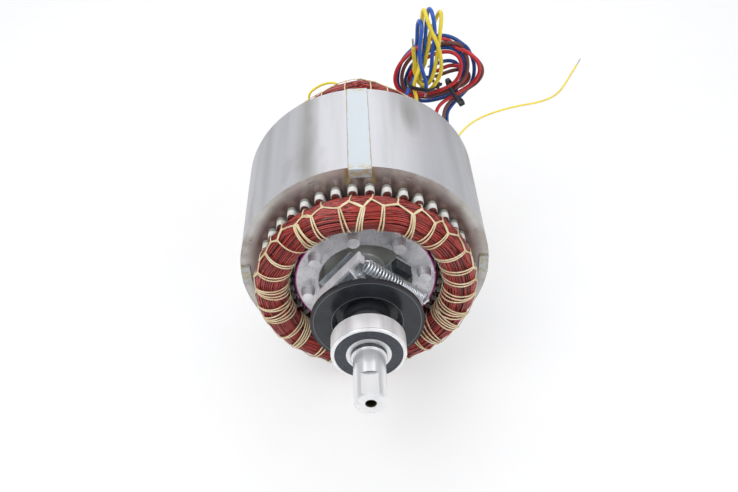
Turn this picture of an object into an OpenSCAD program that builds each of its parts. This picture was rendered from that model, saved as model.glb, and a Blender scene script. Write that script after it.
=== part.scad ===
// Open-frame induction motor: a wound stator with its rotor, bearings and speed governor.
// The shaft lies along Y, the drive end points along -Y, and Z is up.
// The origin is on the shaft's axis, half way along the stator's laminations.
// Round pieces are drawn in a frame whose own Z runs along the shaft towards the drive end.

/* [Stator core] */
// Length of the lamination stack
core_length = 104; // [90:1:130]
// Radius of the bore that the rotor turns in
bore_r = 54; // [53:0.1:55]
// Number of slots
slot_count = 40; // [36:4:40]
// Radial distance from the bore to the bottom of the slots
slot_depth = 26; // [25:0.1:27]
// Radial thickness of the ring behind the slots
yoke_t = 13.7; // [12.5:0.1:18]
// Width of a slot at its outer end
slot_w = 7; // [6.6:0.1:7.2]
// Width of a slot at its inner end
slot_neck_w = 4; // [3.8:0.1:4.2]
// Width of a slot's mouth in the bore
slot_mouth_w = 2.8; // [2:0.1:3.2]
// Radial height of a tooth's tip
tooth_tip = 1.2; // [0.8:0.1:1.5]
// Radial height of a slot's sloping shoulder
slot_shoulder = 1.2; // [0.8:0.1:1.5]

/* [Core cleats] */
// Width of a cleat
cleat_w = 16; // [12:0.5:20]
// Thickness of a cleat's bar
cleat_t = 2.6; // [2:0.1:3]
// Depth of the notch that a cleat lies in
notch_depth = 3.2; // [3.1:0.1:4]
// Clearance beside a cleat in its notch
cleat_side_gap = 0.2; // [0.1:0.1:0.5]
// Radial length of the hook that is bent over a core face
cleat_hook = 7; // [5:0.5:8]
// Thickness of the hook
cleat_hook_t = 2; // [1.5:0.1:2.5]

/* [Interlocks] */
// Distance from the rim of the core in to the circle of interlocks
dimple_inset = 5.2; // [5.2:0.1:6.7]
// Length of an interlock round the core
dimple_w = 4; // [3:0.1:5]
// Radial width of an interlock
dimple_h = 2; // [1.5:0.1:2.2]
// Depth of an interlock
dimple_depth = 0.5; // [0.3:0.1:1]
// Number of interlocks
dimple_count = 8; // [4:4:8]

/* [Slot insulation] */
// Thickness of a slot liner
liner_t = 0.35; // [0.2:0.05:0.4]
// Length that a liner stands out of the core
liner_reach = 8; // [6:0.5:8.5]
// Clearance between a liner and its slot
liner_gap = 0.1; // [0.05:0.05:0.15]
// Thickness of a slot wedge
wedge_t = 1; // [0.8:0.1:1.1]
// Length that a wedge stands out of the core
wedge_reach = 5; // [4:0.5:7]
// Clearance round the wires inside a liner
coil_gap = 0.15; // [0.1:0.05:0.2]

/* [End windings] */
// Distance from the bottom of the slots in to the middle of an end winding
winding_inset = 10.7; // [10.2:0.1:11]
// Distance from a core face to the middle of an end winding
winding_reach = 20; // [19.5:0.1:24]
// Radius of the packed wires under the outer turns
bundle_r = 7.4; // [7:0.1:7.4]
// Radius of one outer strand
strand_r = 1.6; // [1.4:0.1:1.6]
// Distance of the outer strands from the middle of the bundle
strand_lay_r = 10; // [10:0.1:10.1]
// Distance from a core face to where the slots' wires join the bundle
leg_reach = 11; // [10:0.1:11]
// Turns of the outer layer at the drive end
front_turns = 7; // [4:1:9]
// Turns of the outer layer at the rear
rear_turns = 3; // [3:1:4]
// Radius inside a lacing loop
lacing_in_r = 12.4; // [12.4:0.1:12.6]
// Thickness of the lacing cord
lacing_t = 0.8; // [0.6:0.1:1]
// Width of a lacing loop
lacing_w = 1.3; // [1:0.1:2]

/* [Leads] */
// Radius of a lead's insulation
lead_r = 1.6; // [1.4:0.1:1.6]
// Radius of the thin leads
thin_lead_r = 1; // [0.8:0.1:1.2]
// Distance between the loops of a hank
hank_pitch = 3.8; // [3.7:0.1:4]
// Thickness of a tie's strap
tie_t = 1.2; // [0.8:0.1:1.2]
// Width of a tie's strap
tie_w = 3.6; // [2.5:0.1:4.8]
// Length of the stripped end of the free lead
bare_length = 16; // [8:1:25]
// Radius of the stripped strands
bare_r = 0.6; // [0.4:0.1:0.7]

/* [Rotor] */
// Radial gap between the rotor and the bore
air_gap = 0.5; // [0.3:0.1:0.7]
// Number of conductor bars
bar_count = 44; // [32:4:48]
// Radius of one conductor bar
bar_r = 2.2; // [1.8:0.1:2.4]
// Depth of a bar's middle under the rotor's surface
bar_depth = 4.7; // [4.5:0.1:6]
// Skew of the bars along the core, in degrees round the rotor
bar_skew = 9; // [0:0.5:10]
// Length of an end ring
ring_length = 14; // [12:0.5:14]
// Step from the rotor's surface down to an end ring
ring_step = 1.1; // [0.5:0.1:2]
// Radial width of an end ring at its face
ring_face_w = 17.4; // [16.4:0.1:19.4]
// Step from the mouth of an end ring in to its root
ring_taper = 4; // [2:0.5:5]
// Number of balancing pegs on an end ring
peg_count = 8; // [4:4:8]
// Distance from the rim of an end ring in to the circle of pegs
peg_inset = 8.4; // [7.4:0.1:8.9]
// Radius of a peg at its root
peg_root_r = 5.5; // [4.5:0.1:5.8]
// Radius of a peg at its tip
peg_tip_r = 4.5; // [3.5:0.1:5]
// Length of a peg
peg_length = 8; // [5:0.5:8]
// Angle from the top to the first peg
peg_angle = 9.5; // [0:0.5:45]

/* [Shaft] */
// Radius of the shaft inside the rotor
shaft_core_r = 15; // [14.5:0.1:17]
// Radius of the journal that carries the governor
journal_r = 14; // [13.6:0.1:14]
// Radius of the drive end
drive_r = 11.11; // [9.5:0.01:12]
// Length of the shaft in front of the front bearing
drive_length = 41.25; // [35:0.25:60]
// Length of the bearing seat that shows in front of the bearing
seat_rest = 3; // [1:0.5:5]
// Length of the flat
flat_length = 18; // [12:0.5:30]
// Depth of the flat
flat_depth = 1.6; // [1:0.1:2.5]
// Chamfer at the ends of the shaft
shaft_chamfer = 1.2; // [0.5:0.1:2]
// Radius of the centre hole
centre_hole_r = 3.3; // [2:0.1:4]
// Depth of the centre hole
centre_hole_depth = 18; // [10:1:25]
// Radius of the centre hole's mouth
centre_mouth_r = 3.95; // [3.5:0.05:5]
// Radius of the shaft behind the rotor
rear_journal_r = 10.5; // [9.5:0.1:11]
// Length of the stub that shows behind the rear bearing
rear_stub = 2; // [1:0.5:8]

/* [Front bearing] */
// Outer radius of the front bearing
front_out_r = 26; // [26:0.5:27]
// Bore radius of the front bearing
front_in_r = 12.5; // [12:0.1:12.5]
// Width of the front bearing
front_width = 15; // [14:0.5:16]
// Radius of the front bearing's balls
front_ball_r = 3.97; // [3.5:0.01:4]
// Number of the front bearing's balls
front_balls = 9; // [7:1:10]
// Distance from the disc's front face to the front bearing
front_rest = 15.25; // [13.5:0.25:20]

/* [Rear bearing] */
// Outer radius of the rear bearing
rear_out_r = 20; // [19:0.5:21]
// Bore radius of the rear bearing
rear_in_r = 8.5; // [8:0.1:9]
// Width of the rear bearing
rear_width = 12; // [11.5:0.5:14]
// Radius of the rear bearing's balls
rear_ball_r = 3.37; // [3:0.01:3.5]
// Number of the rear bearing's balls
rear_balls = 8; // [6:1:8]
// Distance from the rear end ring to the rear bearing
rear_rest = 30; // [27:0.5:37]

/* [Bearing details] */
// Thickness of a bearing ring beside its groove
race_t = 3; // [2.8:0.1:3.1]
// Thickness of a seal
seal_t = 1.2; // [0.8:0.1:1.2]
// Depth of a seal in the face of its bearing
seal_sink = 0.4; // [0.2:0.1:0.6]
// Width of the seat that a seal has in the outer ring
seal_seat = 0.5; // [0.3:0.1:0.7]
// Running clearance of the balls in their grooves
ball_gap = 0.08; // [0.05:0.01:0.1]
// Clearance between a ball and its pocket
pocket_gap = 0.2; // [0.1:0.05:0.3]
// Radial thickness of a ball retainer
retainer_t = 2.4; // [2:0.1:2.6]
// Chamfer of a bearing's outer edges
bearing_chamfer = 0.8; // [0.4:0.1:1.2]

/* [Governor spool] */
// Radius of the spool's disc
disc_r = 40.4; // [38:0.1:42]
// Thickness of the disc
disc_t = 3; // [2.5:0.1:4]
// Distance from the pivots of the weights to the disc's front face
disc_rise = 21.5; // [21:0.25:22.5]
// Radius of the bowl's mouth
bowl_r = 25; // [24:0.5:27]
// Depth of the bowl
bowl_depth = 7; // [5:0.5:8]
// Wall thickness of the bowl
bowl_t = 3; // [2.5:0.1:3.2]
// Radius of the hub
hub_r = 17; // [16.6:0.1:17.4]
// Length of the hub in front of the disc
hub_rise = 1; // [0.5:0.5:4]
// Radius at the bottom of the groove for the weights' fingers
groove_r = 15.5; // [15.4:0.1:15.6]
// Radius of the flanges beside the groove
flange_r = 17.8; // [17.4:0.1:17.8]
// Thickness of the flanges beside the groove
flange_t = 2.4; // [2:0.1:2.4]
// Running clearance of the spool on the journal
spool_gap = 0.06; // [0.04:0.01:0.1]

/* [Governor weights] */
// Angle from level down to the springs, seen from the drive end
governor_turn = 40.5; // [0:0.5:90]
// Distance from the shaft's axis to a weight's pivot
pivot_s = 20; // [20:0.1:20.4]
// Height of the pivots above the back of the base
pivot_rise = 18; // [17.6:0.1:18.4]
// Radius of a pivot pin
pin_r = 1.5; // [1.3:0.1:1.6]
// Running clearance of a weight on its pin
pin_gap = 0.05; // [0.03:0.01:0.1]
// Distance from the shaft's axis to the fingers
finger_s = 10.5; // [10.4:0.1:10.6]
// Radius of a finger
finger_r = 1.5; // [1.3:0.1:1.6]
// Clearance of a finger in the groove
finger_gap = 0.3; // [0.3:0.05:0.4]
// Distance between the inner faces of a weight's arms
arm_span = 30; // [30:0.1:31]
// Thickness of the weights' sheet metal
arm_t = 1.5; // [1.3:0.1:1.6]
// Distance from the shaft's axis to a weight's plate
plate_s = 26; // [25.8:0.1:26.4]
// Thickness of a weight's plate
plate_t = 2; // [1.5:0.1:2.2]
// Length that a weight's plate stands out beside the space between its arms
plate_wing = 12; // [11:0.5:12]
// Depth of a weight's plate along the shaft
plate_depth = 9.5; // [9:0.1:9.6]
// Drop of the plate's front edge below the pivots
plate_drop = 2; // [1.8:0.1:2.4]

/* [Governor base] */
// Distance from the front end ring to the back of the base
base_gap = 4; // [3.5:0.1:4.5]
// Thickness of the base
base_t = 2; // [1.6:0.1:2.4]
// Half the length of the base along the springs
base_half = 29; // [26:0.5:30]
// Thickness of the ears that hold the pins
ear_t = 1.6; // [1.4:0.1:1.8]
// Width of an ear
ear_w = 5; // [4.6:0.1:6]
// Clearance between an ear and an arm
ear_gap = 0.5; // [0.4:0.1:0.6]
// Wall thickness of the base's hub
base_hub_t = 3; // [2:0.1:3.4]
// Length of the base's hub behind and in front of its plate
base_hub_reach = 6; // [4:0.5:6]
// Length of a side block along the springs
block_length = 14; // [10:0.5:16]
// Width of a side block
block_w = 5.4; // [4:0.1:5.6]
// Height of a side block
block_height = 10; // [6:0.5:11]

/* [Governor springs] */
// Clearance between a spring's curls and the ears
spring_gap = 0.6; // [0.4:0.1:0.8]
// Drop of the springs below the pivots
spring_drop = 5; // [4.8:0.1:5.2]
// Radius of the spring wire
wire_r = 0.6; // [0.4:0.05:0.6]
// Mean radius of the open curls
open_curl_r = 4.2; // [3.8:0.1:4.2]
// Mean radius of the close curls
close_curl_r = 3.6; // [3.2:0.1:3.6]
// Number of open curls
open_curls = 7; // [6:1:9]
// Number of close curls
close_curls = 6; // [5:1:8]
// Distance from the middle of a spring to its first open curl
open_from = 19.5; // [19:0.1:19.5]
// Distance from the middle of a spring to where its curls close up
close_from = 11.7; // [11:0.1:12.5]
// Distance from the middle of a spring to its last close curl
close_to = 33; // [32.5:0.1:33.5]
// Distance from the middle of a spring to the ear that anchors it
anchor_s = 36; // [35.6:0.1:37]

/* [Hidden] */

$fn = 96;
overrun = 1;
seat_gap = 0.02;
half_core = core_length / 2;
slot_outer_r = bore_r + slot_depth;
core_r = slot_outer_r + yoke_t;
dimple_r = core_r - dimple_inset;
slot_pitch = 360 / slot_count;

// Slots and what fills them
slot_inner_r = bore_r + tooth_tip + slot_shoulder;
slot_round_r = slot_w / 2;
slot_round_at = slot_outer_r - slot_round_r;
liner_in = liner_gap + liner_t;
coil_in = liner_in + coil_gap;
wedge_in_r = slot_inner_r + liner_gap;
liner_from_r = wedge_in_r + wedge_t + liner_gap;
coil_from_r = liner_from_r + 2 * liner_t;
arc_step = 22.5;

// Section of an end winding, with angles from straight outwards towards its own end
winding_r = slot_outer_r - winding_inset;
winding_z = half_core + winding_reach;
leg_end = half_core + leg_reach;
turn_from = -20;
turn_to = 200;
section_top = 90;
front_start_share = 0.62;
rear_start_share = 0.5;
front_start = slot_pitch * (floor(front_start_share * slot_count) + 0.5);
rear_start = slot_pitch * (floor(rear_start_share * slot_count) + 0.5);
turn_overlap = 4 * slot_pitch;
rings_per_turn = 24;
strand_sides = 6;
outer_foot_share = 0.45;
foot_room_share = 1.5;
foot_gap_share = 1.7;
outer_foot_r = winding_r + bundle_r + outer_foot_share * strand_r;
inner_foot_r = coil_from_r + foot_room_share * strand_r;
block_out_r = outer_foot_r - foot_room_share * strand_r;
block_in_r = inner_foot_r + foot_gap_share * strand_r;
bundle_joint_share = 0.8;

// A foot of the outer turns bends over in three short steps
foot_bend_share = 0.55;
foot_sag_share = 1 / 6;
foot_rise_share = 1.5;
foot_bend_angle = 1.2;
foot_join_angle = 4;

// Angle, in the winding's section, of the cord that joins the lacing loops
spine_angle = 42;

// Rotor
rotor_r = bore_r - air_gap;
ring_r = rotor_r - ring_step;
ring_mouth_r = ring_r - ring_face_w;
ring_root_r = ring_mouth_r - ring_taper;
ring_face = half_core + ring_length;
peg_circle_r = ring_r - peg_inset;
bar_circle_r = rotor_r - bar_depth;
bar_arc = bar_circle_r * bar_skew * PI / 180;
bar_tilt = atan(bar_arc / core_length);
bar_length = norm([core_length + ring_length / 2, bar_arc]);

// Places along the shaft, each from its neighbour
base_z = ring_face + base_gap;
pivot_z = base_z + pivot_rise;
disc_face = pivot_z + disc_rise;
front_shoulder = disc_face + front_rest;
front_face = front_shoulder + front_width;
drive_end = front_face + drive_length;
rear_shoulder = ring_face + rear_rest;
rear_face = rear_shoulder + rear_width;

// Bearings
front_pitch_r = (front_out_r + front_in_r) / 2 + ball_gap;
rear_pitch_r = (rear_out_r + rear_in_r) / 2 + ball_gap;

// Governor
groove_half = finger_r + finger_gap;
finger_end_n = sqrt(pow(groove_r + finger_gap, 2) - pow(finger_s - finger_r, 2));
spool_back = pivot_z - groove_half - flange_t;
bowl_floor = disc_face - bowl_depth;
plate_front = pivot_z - plate_drop;
plate_back = plate_front - plate_depth;
plate_span = arm_span + 2 * plate_wing;
arm_n = (arm_span + arm_t) / 2;
ear_n = arm_span / 2 + arm_t + ear_gap;
base_span = 2 * (ear_n + ear_t);
base_front = base_z + base_t;
pin_reach = ear_n + ear_t + pin_r / 2;
boss_share = 2 / 3;
boss_r = ear_w / 2 + boss_share * pin_r;
spring_z = pivot_z - spring_drop;
spring_n = ear_n + ear_t + spring_gap + open_curl_r + wire_r;
block_n = spring_n + open_curl_r + wire_r + pin_r / 2;
tab_t = arm_t;
tab_from_share = 0.25;
lug_place_share = 1.5;
anchor_share = 0.62;

// Ends of a spring: shares of the way to the first curl and of the curl's radius
rings_per_curl = 8;
lead_in_shares = [[0.45, 0.1, 0], [0.7, 0.7, -0.25]];
lead_out_shares = [0.6, 0.33];

// Lead exits round the rear winding, in half slots from level on the right
exit_blue = slot_pitch * 6.5;
exit_yellow = slot_pitch * 5.5;
exit_red = slot_pitch * 3.5;
exit_brown = slot_pitch * 2.5;
exit_dark_blue = slot_pitch * 1.5;
exit_free = -slot_pitch * 5.5;
exit_jumper_left = slot_pitch * 13.5;
exit_jumper_right = slot_pitch * 11.5;
exit_sink = 0.5;
exit_clear = lacing_in_r + lacing_t + 2 * lead_r;

// Hanks: the middle, the half sizes, the lean of the long axis and the first angle
small_hank = [59.5, 91, 97.5];
small_hank_half_w = 12;
small_hank_half_h = 39;
small_hank_lean = 3;
large_hank = [69, 103.5, 76];
large_hank_half_w = 28;
large_hank_half_h = 40;
large_hank_lean = 65;
nest_step = 4;
hank_turns = 1.25;
hank_squareness = 3;
small_hank_from = -90;
large_hank_from = -5;

// Ties: the angle round the hank, the room for the leads and the head's size in strap widths
small_tie_at = 194;
large_tie_at = 6;
tie_room = 0.3;
tie_head_shares = [1.5, 1.45, 1.1];

// Routes of the cords, from the winding to the hank or the floor
yellow_route = [[48, 94, 55], [52, 92, 57]];
blue_route = [[38, 91, 60], [44, 89.5, 61.5]];
red_route = [[57.5, 96, 40], [59, 102, 48]];
brown_route = [[61.5, 95, 33], [62.5, 101, 42], [64.5, 103, 46.6]];
dark_blue_route = [[66.5, 95, 21], [66, 100, 31], [66, 103, 40]];
jumper_route = [[-38, 91, 72], [-33, 92, 79], [-25, 92, 82]];
notch_half_w = cleat_w / 2 + cleat_side_gap;
floor_z = thin_lead_r - sqrt(core_r * core_r - notch_half_w * notch_half_w);
free_route = [
    [46, 92, -57], [48, 97, -67], [51, 103, -79], [56, 113, -88],
    [63, 128, floor_z], [72, 152, floor_z], [92, 212, floor_z],
    [102, 240, floor_z], [112, 264, floor_z], [126, 284, floor_z], [144, 299, floor_z],
    [165, 310, floor_z], [188, 318, floor_z], [208, 323, floor_z], [225, 331, floor_z],
    [238, 343, floor_z], [249, 360, floor_z], [262, 384, floor_z], [275, 408, floor_z]
];

// Colours
steel = "#9a9ea3";
bright_steel = "#d2d5d8";
zinc = "#aebcc4";
aluminium = "#b9bbbc";
enamel = "#9b2b22";
cord_cream = "#e2cfa4";
paper = "#f0efe9";
black_plastic = "#23262b";
seal_black = "#2c3036";
yellow = "#ecd13a";
blue = "#1f52b8";
dark_blue = "#1b3f8f";
red = "#c62a30";
brown = "#6b3a30";

// Frames
module along_shaft() rotate([90, 0, 0]) children();
module governor_frame() along_shaft() rotate([0, 0, -governor_turn]) children();
module side_plate(n, thickness) translate([0, n, 0]) rotate([90, 0, 0])
    linear_extrude(thickness, center = true) children();
module each_way() for (side = [0, 180]) rotate([0, 0, side]) children();

// Tubes along a path, with a normal carried from ring to ring
function unit(v) = v / norm(v);
function square_to(v, d) = unit(v - (v * d) * d);
function directions(path) = let (last = len(path) - 1)
    [for (i = [0:last]) unit(path[min(i + 1, last)] - path[max(i - 1, 0)])];
function first_normal(d) = abs(d.z) < 0.9 ? [0, 0, 1] : [1, 0, 0];
function normals(ds) = let (last = len(ds) - 1)
    [for (i = 0, n = square_to(first_normal(ds[0]), ds[0]); i <= last;
        i = i + 1, n = square_to(n, ds[min(i, last)])) n];
function least_gap(path, r, apart) = min([for (i = [0:len(path) - 1 - apart])
    for (j = [i + apart:len(path) - 1]) norm(path[i] - path[j])]) - 2 * r;

module tube(path, r, sides) {
    ds = directions(path);
    ns = normals(ds);
    last = (len(path) - 1) * sides;
    points = [for (i = [0:len(path) - 1]) for (k = [0:sides - 1]) let (a = 360 * k / sides)
        path[i] + r * (cos(a) * ns[i] + sin(a) * cross(ds[i], ns[i]))];
    walls = [for (i = [0:sides:last - 1]) for (k = [0:sides - 1])
        let (a = i + k, b = i + (k + 1) % sides)
        each [[a, a + sides, b], [b, a + sides, b + sides]]];
    caps = [for (k = [1:sides - 2]) each [[0, k, k + 1], [last, last + k + 1, last + k]]];
    polyhedron(points, concat(walls, caps), convexity = 10);
}

// Slots, with X across a slot and Y along its radius
function slot_width_at(r) = slot_neck_w
    + (slot_w - slot_neck_w) * (r - slot_inner_r) / (slot_round_at - slot_inner_r);
function slot_arc(inset) = [for (a = [0:arc_step:180])
    [0, slot_round_at] + (slot_round_r - inset) * [cos(a), sin(a)]];
function slot_wall(inset, from_r) = let (half = slot_width_at(from_r) / 2 - inset)
    concat([[half, from_r]], slot_arc(inset), [[-half, from_r]]);
function reversed(list) = [for (i = [len(list) - 1:-1:0]) list[i]];

module each_slot() for (i = [0:slot_count - 1]) rotate([0, 0, (i + 0.5) * slot_pitch - 90]) children();

module slot_cut() {
    mouth = slot_mouth_w / 2;
    polygon(concat(
        [[-mouth, bore_r + tooth_tip], [-mouth, bore_r - overrun]],
        [[mouth, bore_r - overrun], [mouth, bore_r + tooth_tip]],
        slot_wall(0, slot_inner_r)));
}

// Stator
module stator_core() color(steel) along_shaft() difference() {
    linear_extrude(core_length, center = true) difference() {
        circle(core_r);
        circle(bore_r);
        each_slot() slot_cut();
        for (i = [0:3]) rotate(90 * i) translate([core_r - notch_depth, 0])
            translate([0, -notch_half_w])
            square([notch_depth + overrun, 2 * notch_half_w]);
    }
    for (i = [0:dimple_count - 1]) rotate([0, 0, (i + 0.5) * 360 / dimple_count])
        translate([dimple_r, 0, half_core])
        cube([dimple_h, dimple_w, 2 * dimple_depth], center = true);
}

module core_cleats() {
    out_r = core_r - notch_depth + cleat_t;
    in_r = out_r - cleat_t;
    hook_r = out_r - cleat_hook;
    end = half_core + cleat_hook_t;
    color(zinc) along_shaft() for (i = [0:3]) rotate([0, 0, 90 * i]) rotate([90, 0, 0])
        linear_extrude(cleat_w, center = true) polygon([
            [in_r, -half_core], [in_r, half_core], [hook_r, half_core], [hook_r, end],
            [out_r, end], [out_r, -end], [hook_r, -end], [hook_r, -half_core]]);
}

module slot_liners() color(paper) along_shaft() each_slot()
    linear_extrude(core_length + 2 * liner_reach, center = true)
    polygon(concat(slot_wall(liner_gap, liner_from_r), reversed(slot_wall(liner_in, liner_from_r))));

module slot_wedges() {
    inner = slot_width_at(wedge_in_r) / 2 - liner_gap;
    outer = slot_width_at(wedge_in_r + wedge_t) / 2 - liner_gap;
    color(paper) along_shaft() each_slot()
        linear_extrude(core_length + 2 * wedge_reach, center = true)
        polygon([[-inner, wedge_in_r], [inner, wedge_in_r],
            [outer, wedge_in_r + wedge_t], [-outer, wedge_in_r + wedge_t]]);
}

module slot_coils() color(enamel) along_shaft() each_slot()
    linear_extrude(2 * leg_end, center = true) polygon(slot_wall(coil_in, coil_from_r));

// The packed wires of an end winding narrow from the slots' wires to a round bundle
module bundle() rotate_extrude() {
    joint_half = bundle_r * bundle_joint_share;
    translate([winding_r, winding_z]) circle(bundle_r);
    polygon([[block_in_r, leg_end], [block_out_r, leg_end],
        [winding_r + joint_half, winding_z - bundle_r / 2],
        [winding_r - joint_half, winding_z - bundle_r / 2]]);
}

function on_winding(lay, section, round) = let (r = winding_r + lay * cos(section))
    [r * cos(round), r * sin(round), winding_z + lay * sin(section)];
function at_foot(r, round, z) = [r * cos(round), r * sin(round), z];
function turn_path(turns, start) = let (
        steps = turns * rings_per_turn,
        stop = start + 360 * turns + turn_overlap,
        lead_in = 360 / rings_per_turn,
        run = stop - start - 2 * lead_in,
        rise = leg_end + 2 * strand_r,
        bend = foot_bend_share * strand_r,
        sag = foot_sag_share * bend,
        top = rise + foot_rise_share * bend)
    concat(
        [at_foot(outer_foot_r, start, leg_end), at_foot(outer_foot_r, start, rise)],
        [at_foot(outer_foot_r + sag, start + foot_bend_angle, rise + bend)],
        [at_foot(outer_foot_r + bend, start + foot_join_angle, top)],
        [for (k = [0:steps]) on_winding(strand_lay_r,
            turn_from + (turn_to - turn_from) * k / steps, start + lead_in + run * k / steps)],
        [at_foot(inner_foot_r - bend, stop - foot_join_angle, top)],
        [at_foot(inner_foot_r - sag, stop - foot_bend_angle, rise + bend)],
        [at_foot(inner_foot_r, stop, rise), at_foot(inner_foot_r, stop, leg_end)]);

module end_turns(turns, start) {
    path = turn_path(turns, start);
    echo("least gap between the outer turns", least_gap(path, strand_r, rings_per_turn / 2));
    color(enamel) tube(path, strand_r, strand_sides);
}

module lacing() {
    middle = lacing_in_r + lacing_t / 2;
    color(cord_cream) {
        for (i = [0:slot_count - 1]) rotate([0, 0, i * slot_pitch])
            translate([winding_r, 0, winding_z]) rotate([90, 0, 0])
            linear_extrude(lacing_w, center = true) difference() {
                circle(lacing_in_r + lacing_t);
                circle(lacing_in_r);
            }
        rotate_extrude()
            translate([winding_r + middle * cos(spine_angle), winding_z + middle * sin(spine_angle)])
            circle(lacing_t, $fn = 24);
    }
}

module front_end_winding() along_shaft() color(enamel) bundle();
module rear_end_winding() along_shaft() mirror([0, 0, 1]) color(enamel) bundle();
module front_end_turns() along_shaft() end_turns(front_turns, front_start);
module rear_end_turns() along_shaft() mirror([0, 0, 1]) end_turns(rear_turns, rear_start);
module front_lacing() along_shaft() lacing();
module rear_lacing() along_shaft() mirror([0, 0, 1]) lacing();

// Leads leave the rear winding half way between two of its outer turns
function gap_section(round) = let (
        part = ((round - rear_start) % 360 + 360) % 360 / 360,
        step = (turn_to - turn_from) / rear_turns,
        k = round_to(((section_top - turn_from) / step) - part - 0.5))
    turn_from + step * (part + k + 0.5);
function round_to(v) = floor(v + 0.5);
function rear_point(round, lay) = let (p = on_winding(lay, gap_section(round), round)) [p.x, p.z, p.y];
function lead_exit(round) = [rear_point(round, bundle_r - exit_sink), rear_point(round, exit_clear)];

// A hank's loop has round ends and long straight sides
function hank_side(u) = sin(90 * max(-1, min(1, hank_squareness * sin(u))));
function hank_point(hank, half_w, half_h, lean, u, along) = let (
        across = half_w * cos(u),
        up = half_w * sin(u) + (half_h - half_w) * hank_side(u))
    hank + [across * cos(lean) + up * sin(lean), along, up * cos(lean) - across * sin(lean)];
function hank_loops(hank, half_w, half_h, lean, start, turns) =
    [for (k = [0:round_to(turns * rings_per_turn)])
        hank_point(hank, half_w, half_h, lean, start + 360 * k / rings_per_turn,
            hank_pitch * k / rings_per_turn)];
function with_straight_ends(path, length) = let (last = len(path) - 1) concat(
    [path[0] - length * unit(path[1] - path[0])], path,
    [path[last] + length * unit(path[last] - path[last - 1])]);
function small_loops(nest, turns) = with_straight_ends(
    hank_loops(small_hank, small_hank_half_w - nest, small_hank_half_h - nest, small_hank_lean,
        small_hank_from, turns), 2 * lead_r);
function large_loops(nest, turns) = with_straight_ends(
    hank_loops(large_hank, large_hank_half_w - nest, large_hank_half_h - nest, large_hank_lean,
        large_hank_from, turns), 2 * lead_r);
function tail_path(round, route, loops) = let (d = unit(loops[1] - loops[0]))
    concat(lead_exit(round), route, [loops[0] - 2 * lead_r * d, loops[0]]);

yellow_loops = small_loops(0, 1 + hank_turns);
blue_loops = small_loops(nest_step, hank_turns);
dark_blue_loops = large_loops(0, hank_turns);
brown_loops = large_loops(nest_step, hank_turns);
red_loops = large_loops(2 * nest_step, 1 + hank_turns);

module hank(loops) {
    echo("least gap between a hank's loops", least_gap(loops, lead_r, rings_per_turn / 2));
    tube(loops, lead_r, strand_sides);
}

module yellow_lead_hank() color(yellow) hank(yellow_loops);
module blue_lead_hank() color(blue) hank(blue_loops);
module dark_blue_lead_hank() color(dark_blue) hank(dark_blue_loops);
module brown_lead_hank() color(brown) hank(brown_loops);
module red_lead_hank() color(red) hank(red_loops);

module yellow_lead_tail() color(yellow)
    tube(tail_path(exit_yellow, yellow_route, yellow_loops), lead_r, strand_sides);
module blue_lead_tail() color(blue)
    tube(tail_path(exit_blue, blue_route, blue_loops), lead_r, strand_sides);
module red_lead_tail() color(red)
    tube(tail_path(exit_red, red_route, red_loops), lead_r, strand_sides);
module brown_lead_tail() color(brown)
    tube(tail_path(exit_brown, brown_route, brown_loops), lead_r, strand_sides);
module dark_blue_lead_tail() color(dark_blue)
    tube(tail_path(exit_dark_blue, dark_blue_route, dark_blue_loops), lead_r, strand_sides);

module winding_jumper() color(yellow) tube(
    concat(lead_exit(exit_jumper_left), jumper_route, reversed(lead_exit(exit_jumper_right))),
    thin_lead_r, strand_sides);

free_end = free_route[len(free_route) - 1];
free_way = unit(free_end - free_route[len(free_route) - 2]);

module free_yellow_lead() color(yellow)
    tube(concat(lead_exit(exit_free), free_route), thin_lead_r, strand_sides);
module free_lead_bare_end() color(zinc) translate(free_end)
    rotate([90, 0, atan2(free_way.y, free_way.x) + 90]) cylinder(h = bare_length, r = bare_r);

// A tie's strap goes round its bundle, with the head on one side
module tie(inner) {
    outer = inner + 2 * tie_t * [1, 1];
    color(black_plastic) {
        linear_extrude(tie_w, center = true) difference() {
            square(outer, center = true);
            square(inner, center = true);
        }
        head = tie_head_shares * tie_w;
        translate([(outer.x + head.x - tie_t) / 2, 0, 0]) cube(head, center = true);
    }
}

module small_hank_tie() {
    turns_to_tie = (small_tie_at - small_hank_from) / 360;
    room = lead_r + tie_room;
    middle = hank_point(small_hank, small_hank_half_w - nest_step / 2,
        small_hank_half_h - nest_step / 2, small_hank_lean, small_tie_at,
        hank_pitch * (turns_to_tie + 0.5));
    translate(middle) rotate([0, small_hank_lean, 0])
        mirror([1, 0, 0]) tie([nest_step + 2 * room + tie_room, hank_pitch + 2 * room + tie_room]);
}

module large_hank_tie() {
    turns_to_tie = (large_tie_at - large_hank_from) / 360;
    room = lead_r + tie_room;
    middle = hank_point(large_hank, large_hank_half_w - nest_step, large_hank_half_h - nest_step,
        large_hank_lean, large_tie_at, hank_pitch * (turns_to_tie + 1));
    translate(middle) rotate([0, large_hank_lean, 0])
        tie([2 * nest_step + 2 * room + tie_room, 2 * hank_pitch + 2 * room + 2 * tie_room]);
}

// Rotor
module each_bar() for (i = [0:bar_count - 1]) rotate([0, 0, 360 * i / bar_count])
    translate([bar_circle_r, 0, 0]) rotate([bar_tilt, 0, 0]) children();

module rotor_core() color(steel) along_shaft() difference() {
    cylinder(h = core_length, r = rotor_r, center = true);
    cylinder(h = core_length + 2 * overrun, r = shaft_core_r + seat_gap, center = true);
    each_bar() cylinder(h = bar_length + 2 * overrun, r = bar_r + seat_gap, center = true, $fn = 24);
}

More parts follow.
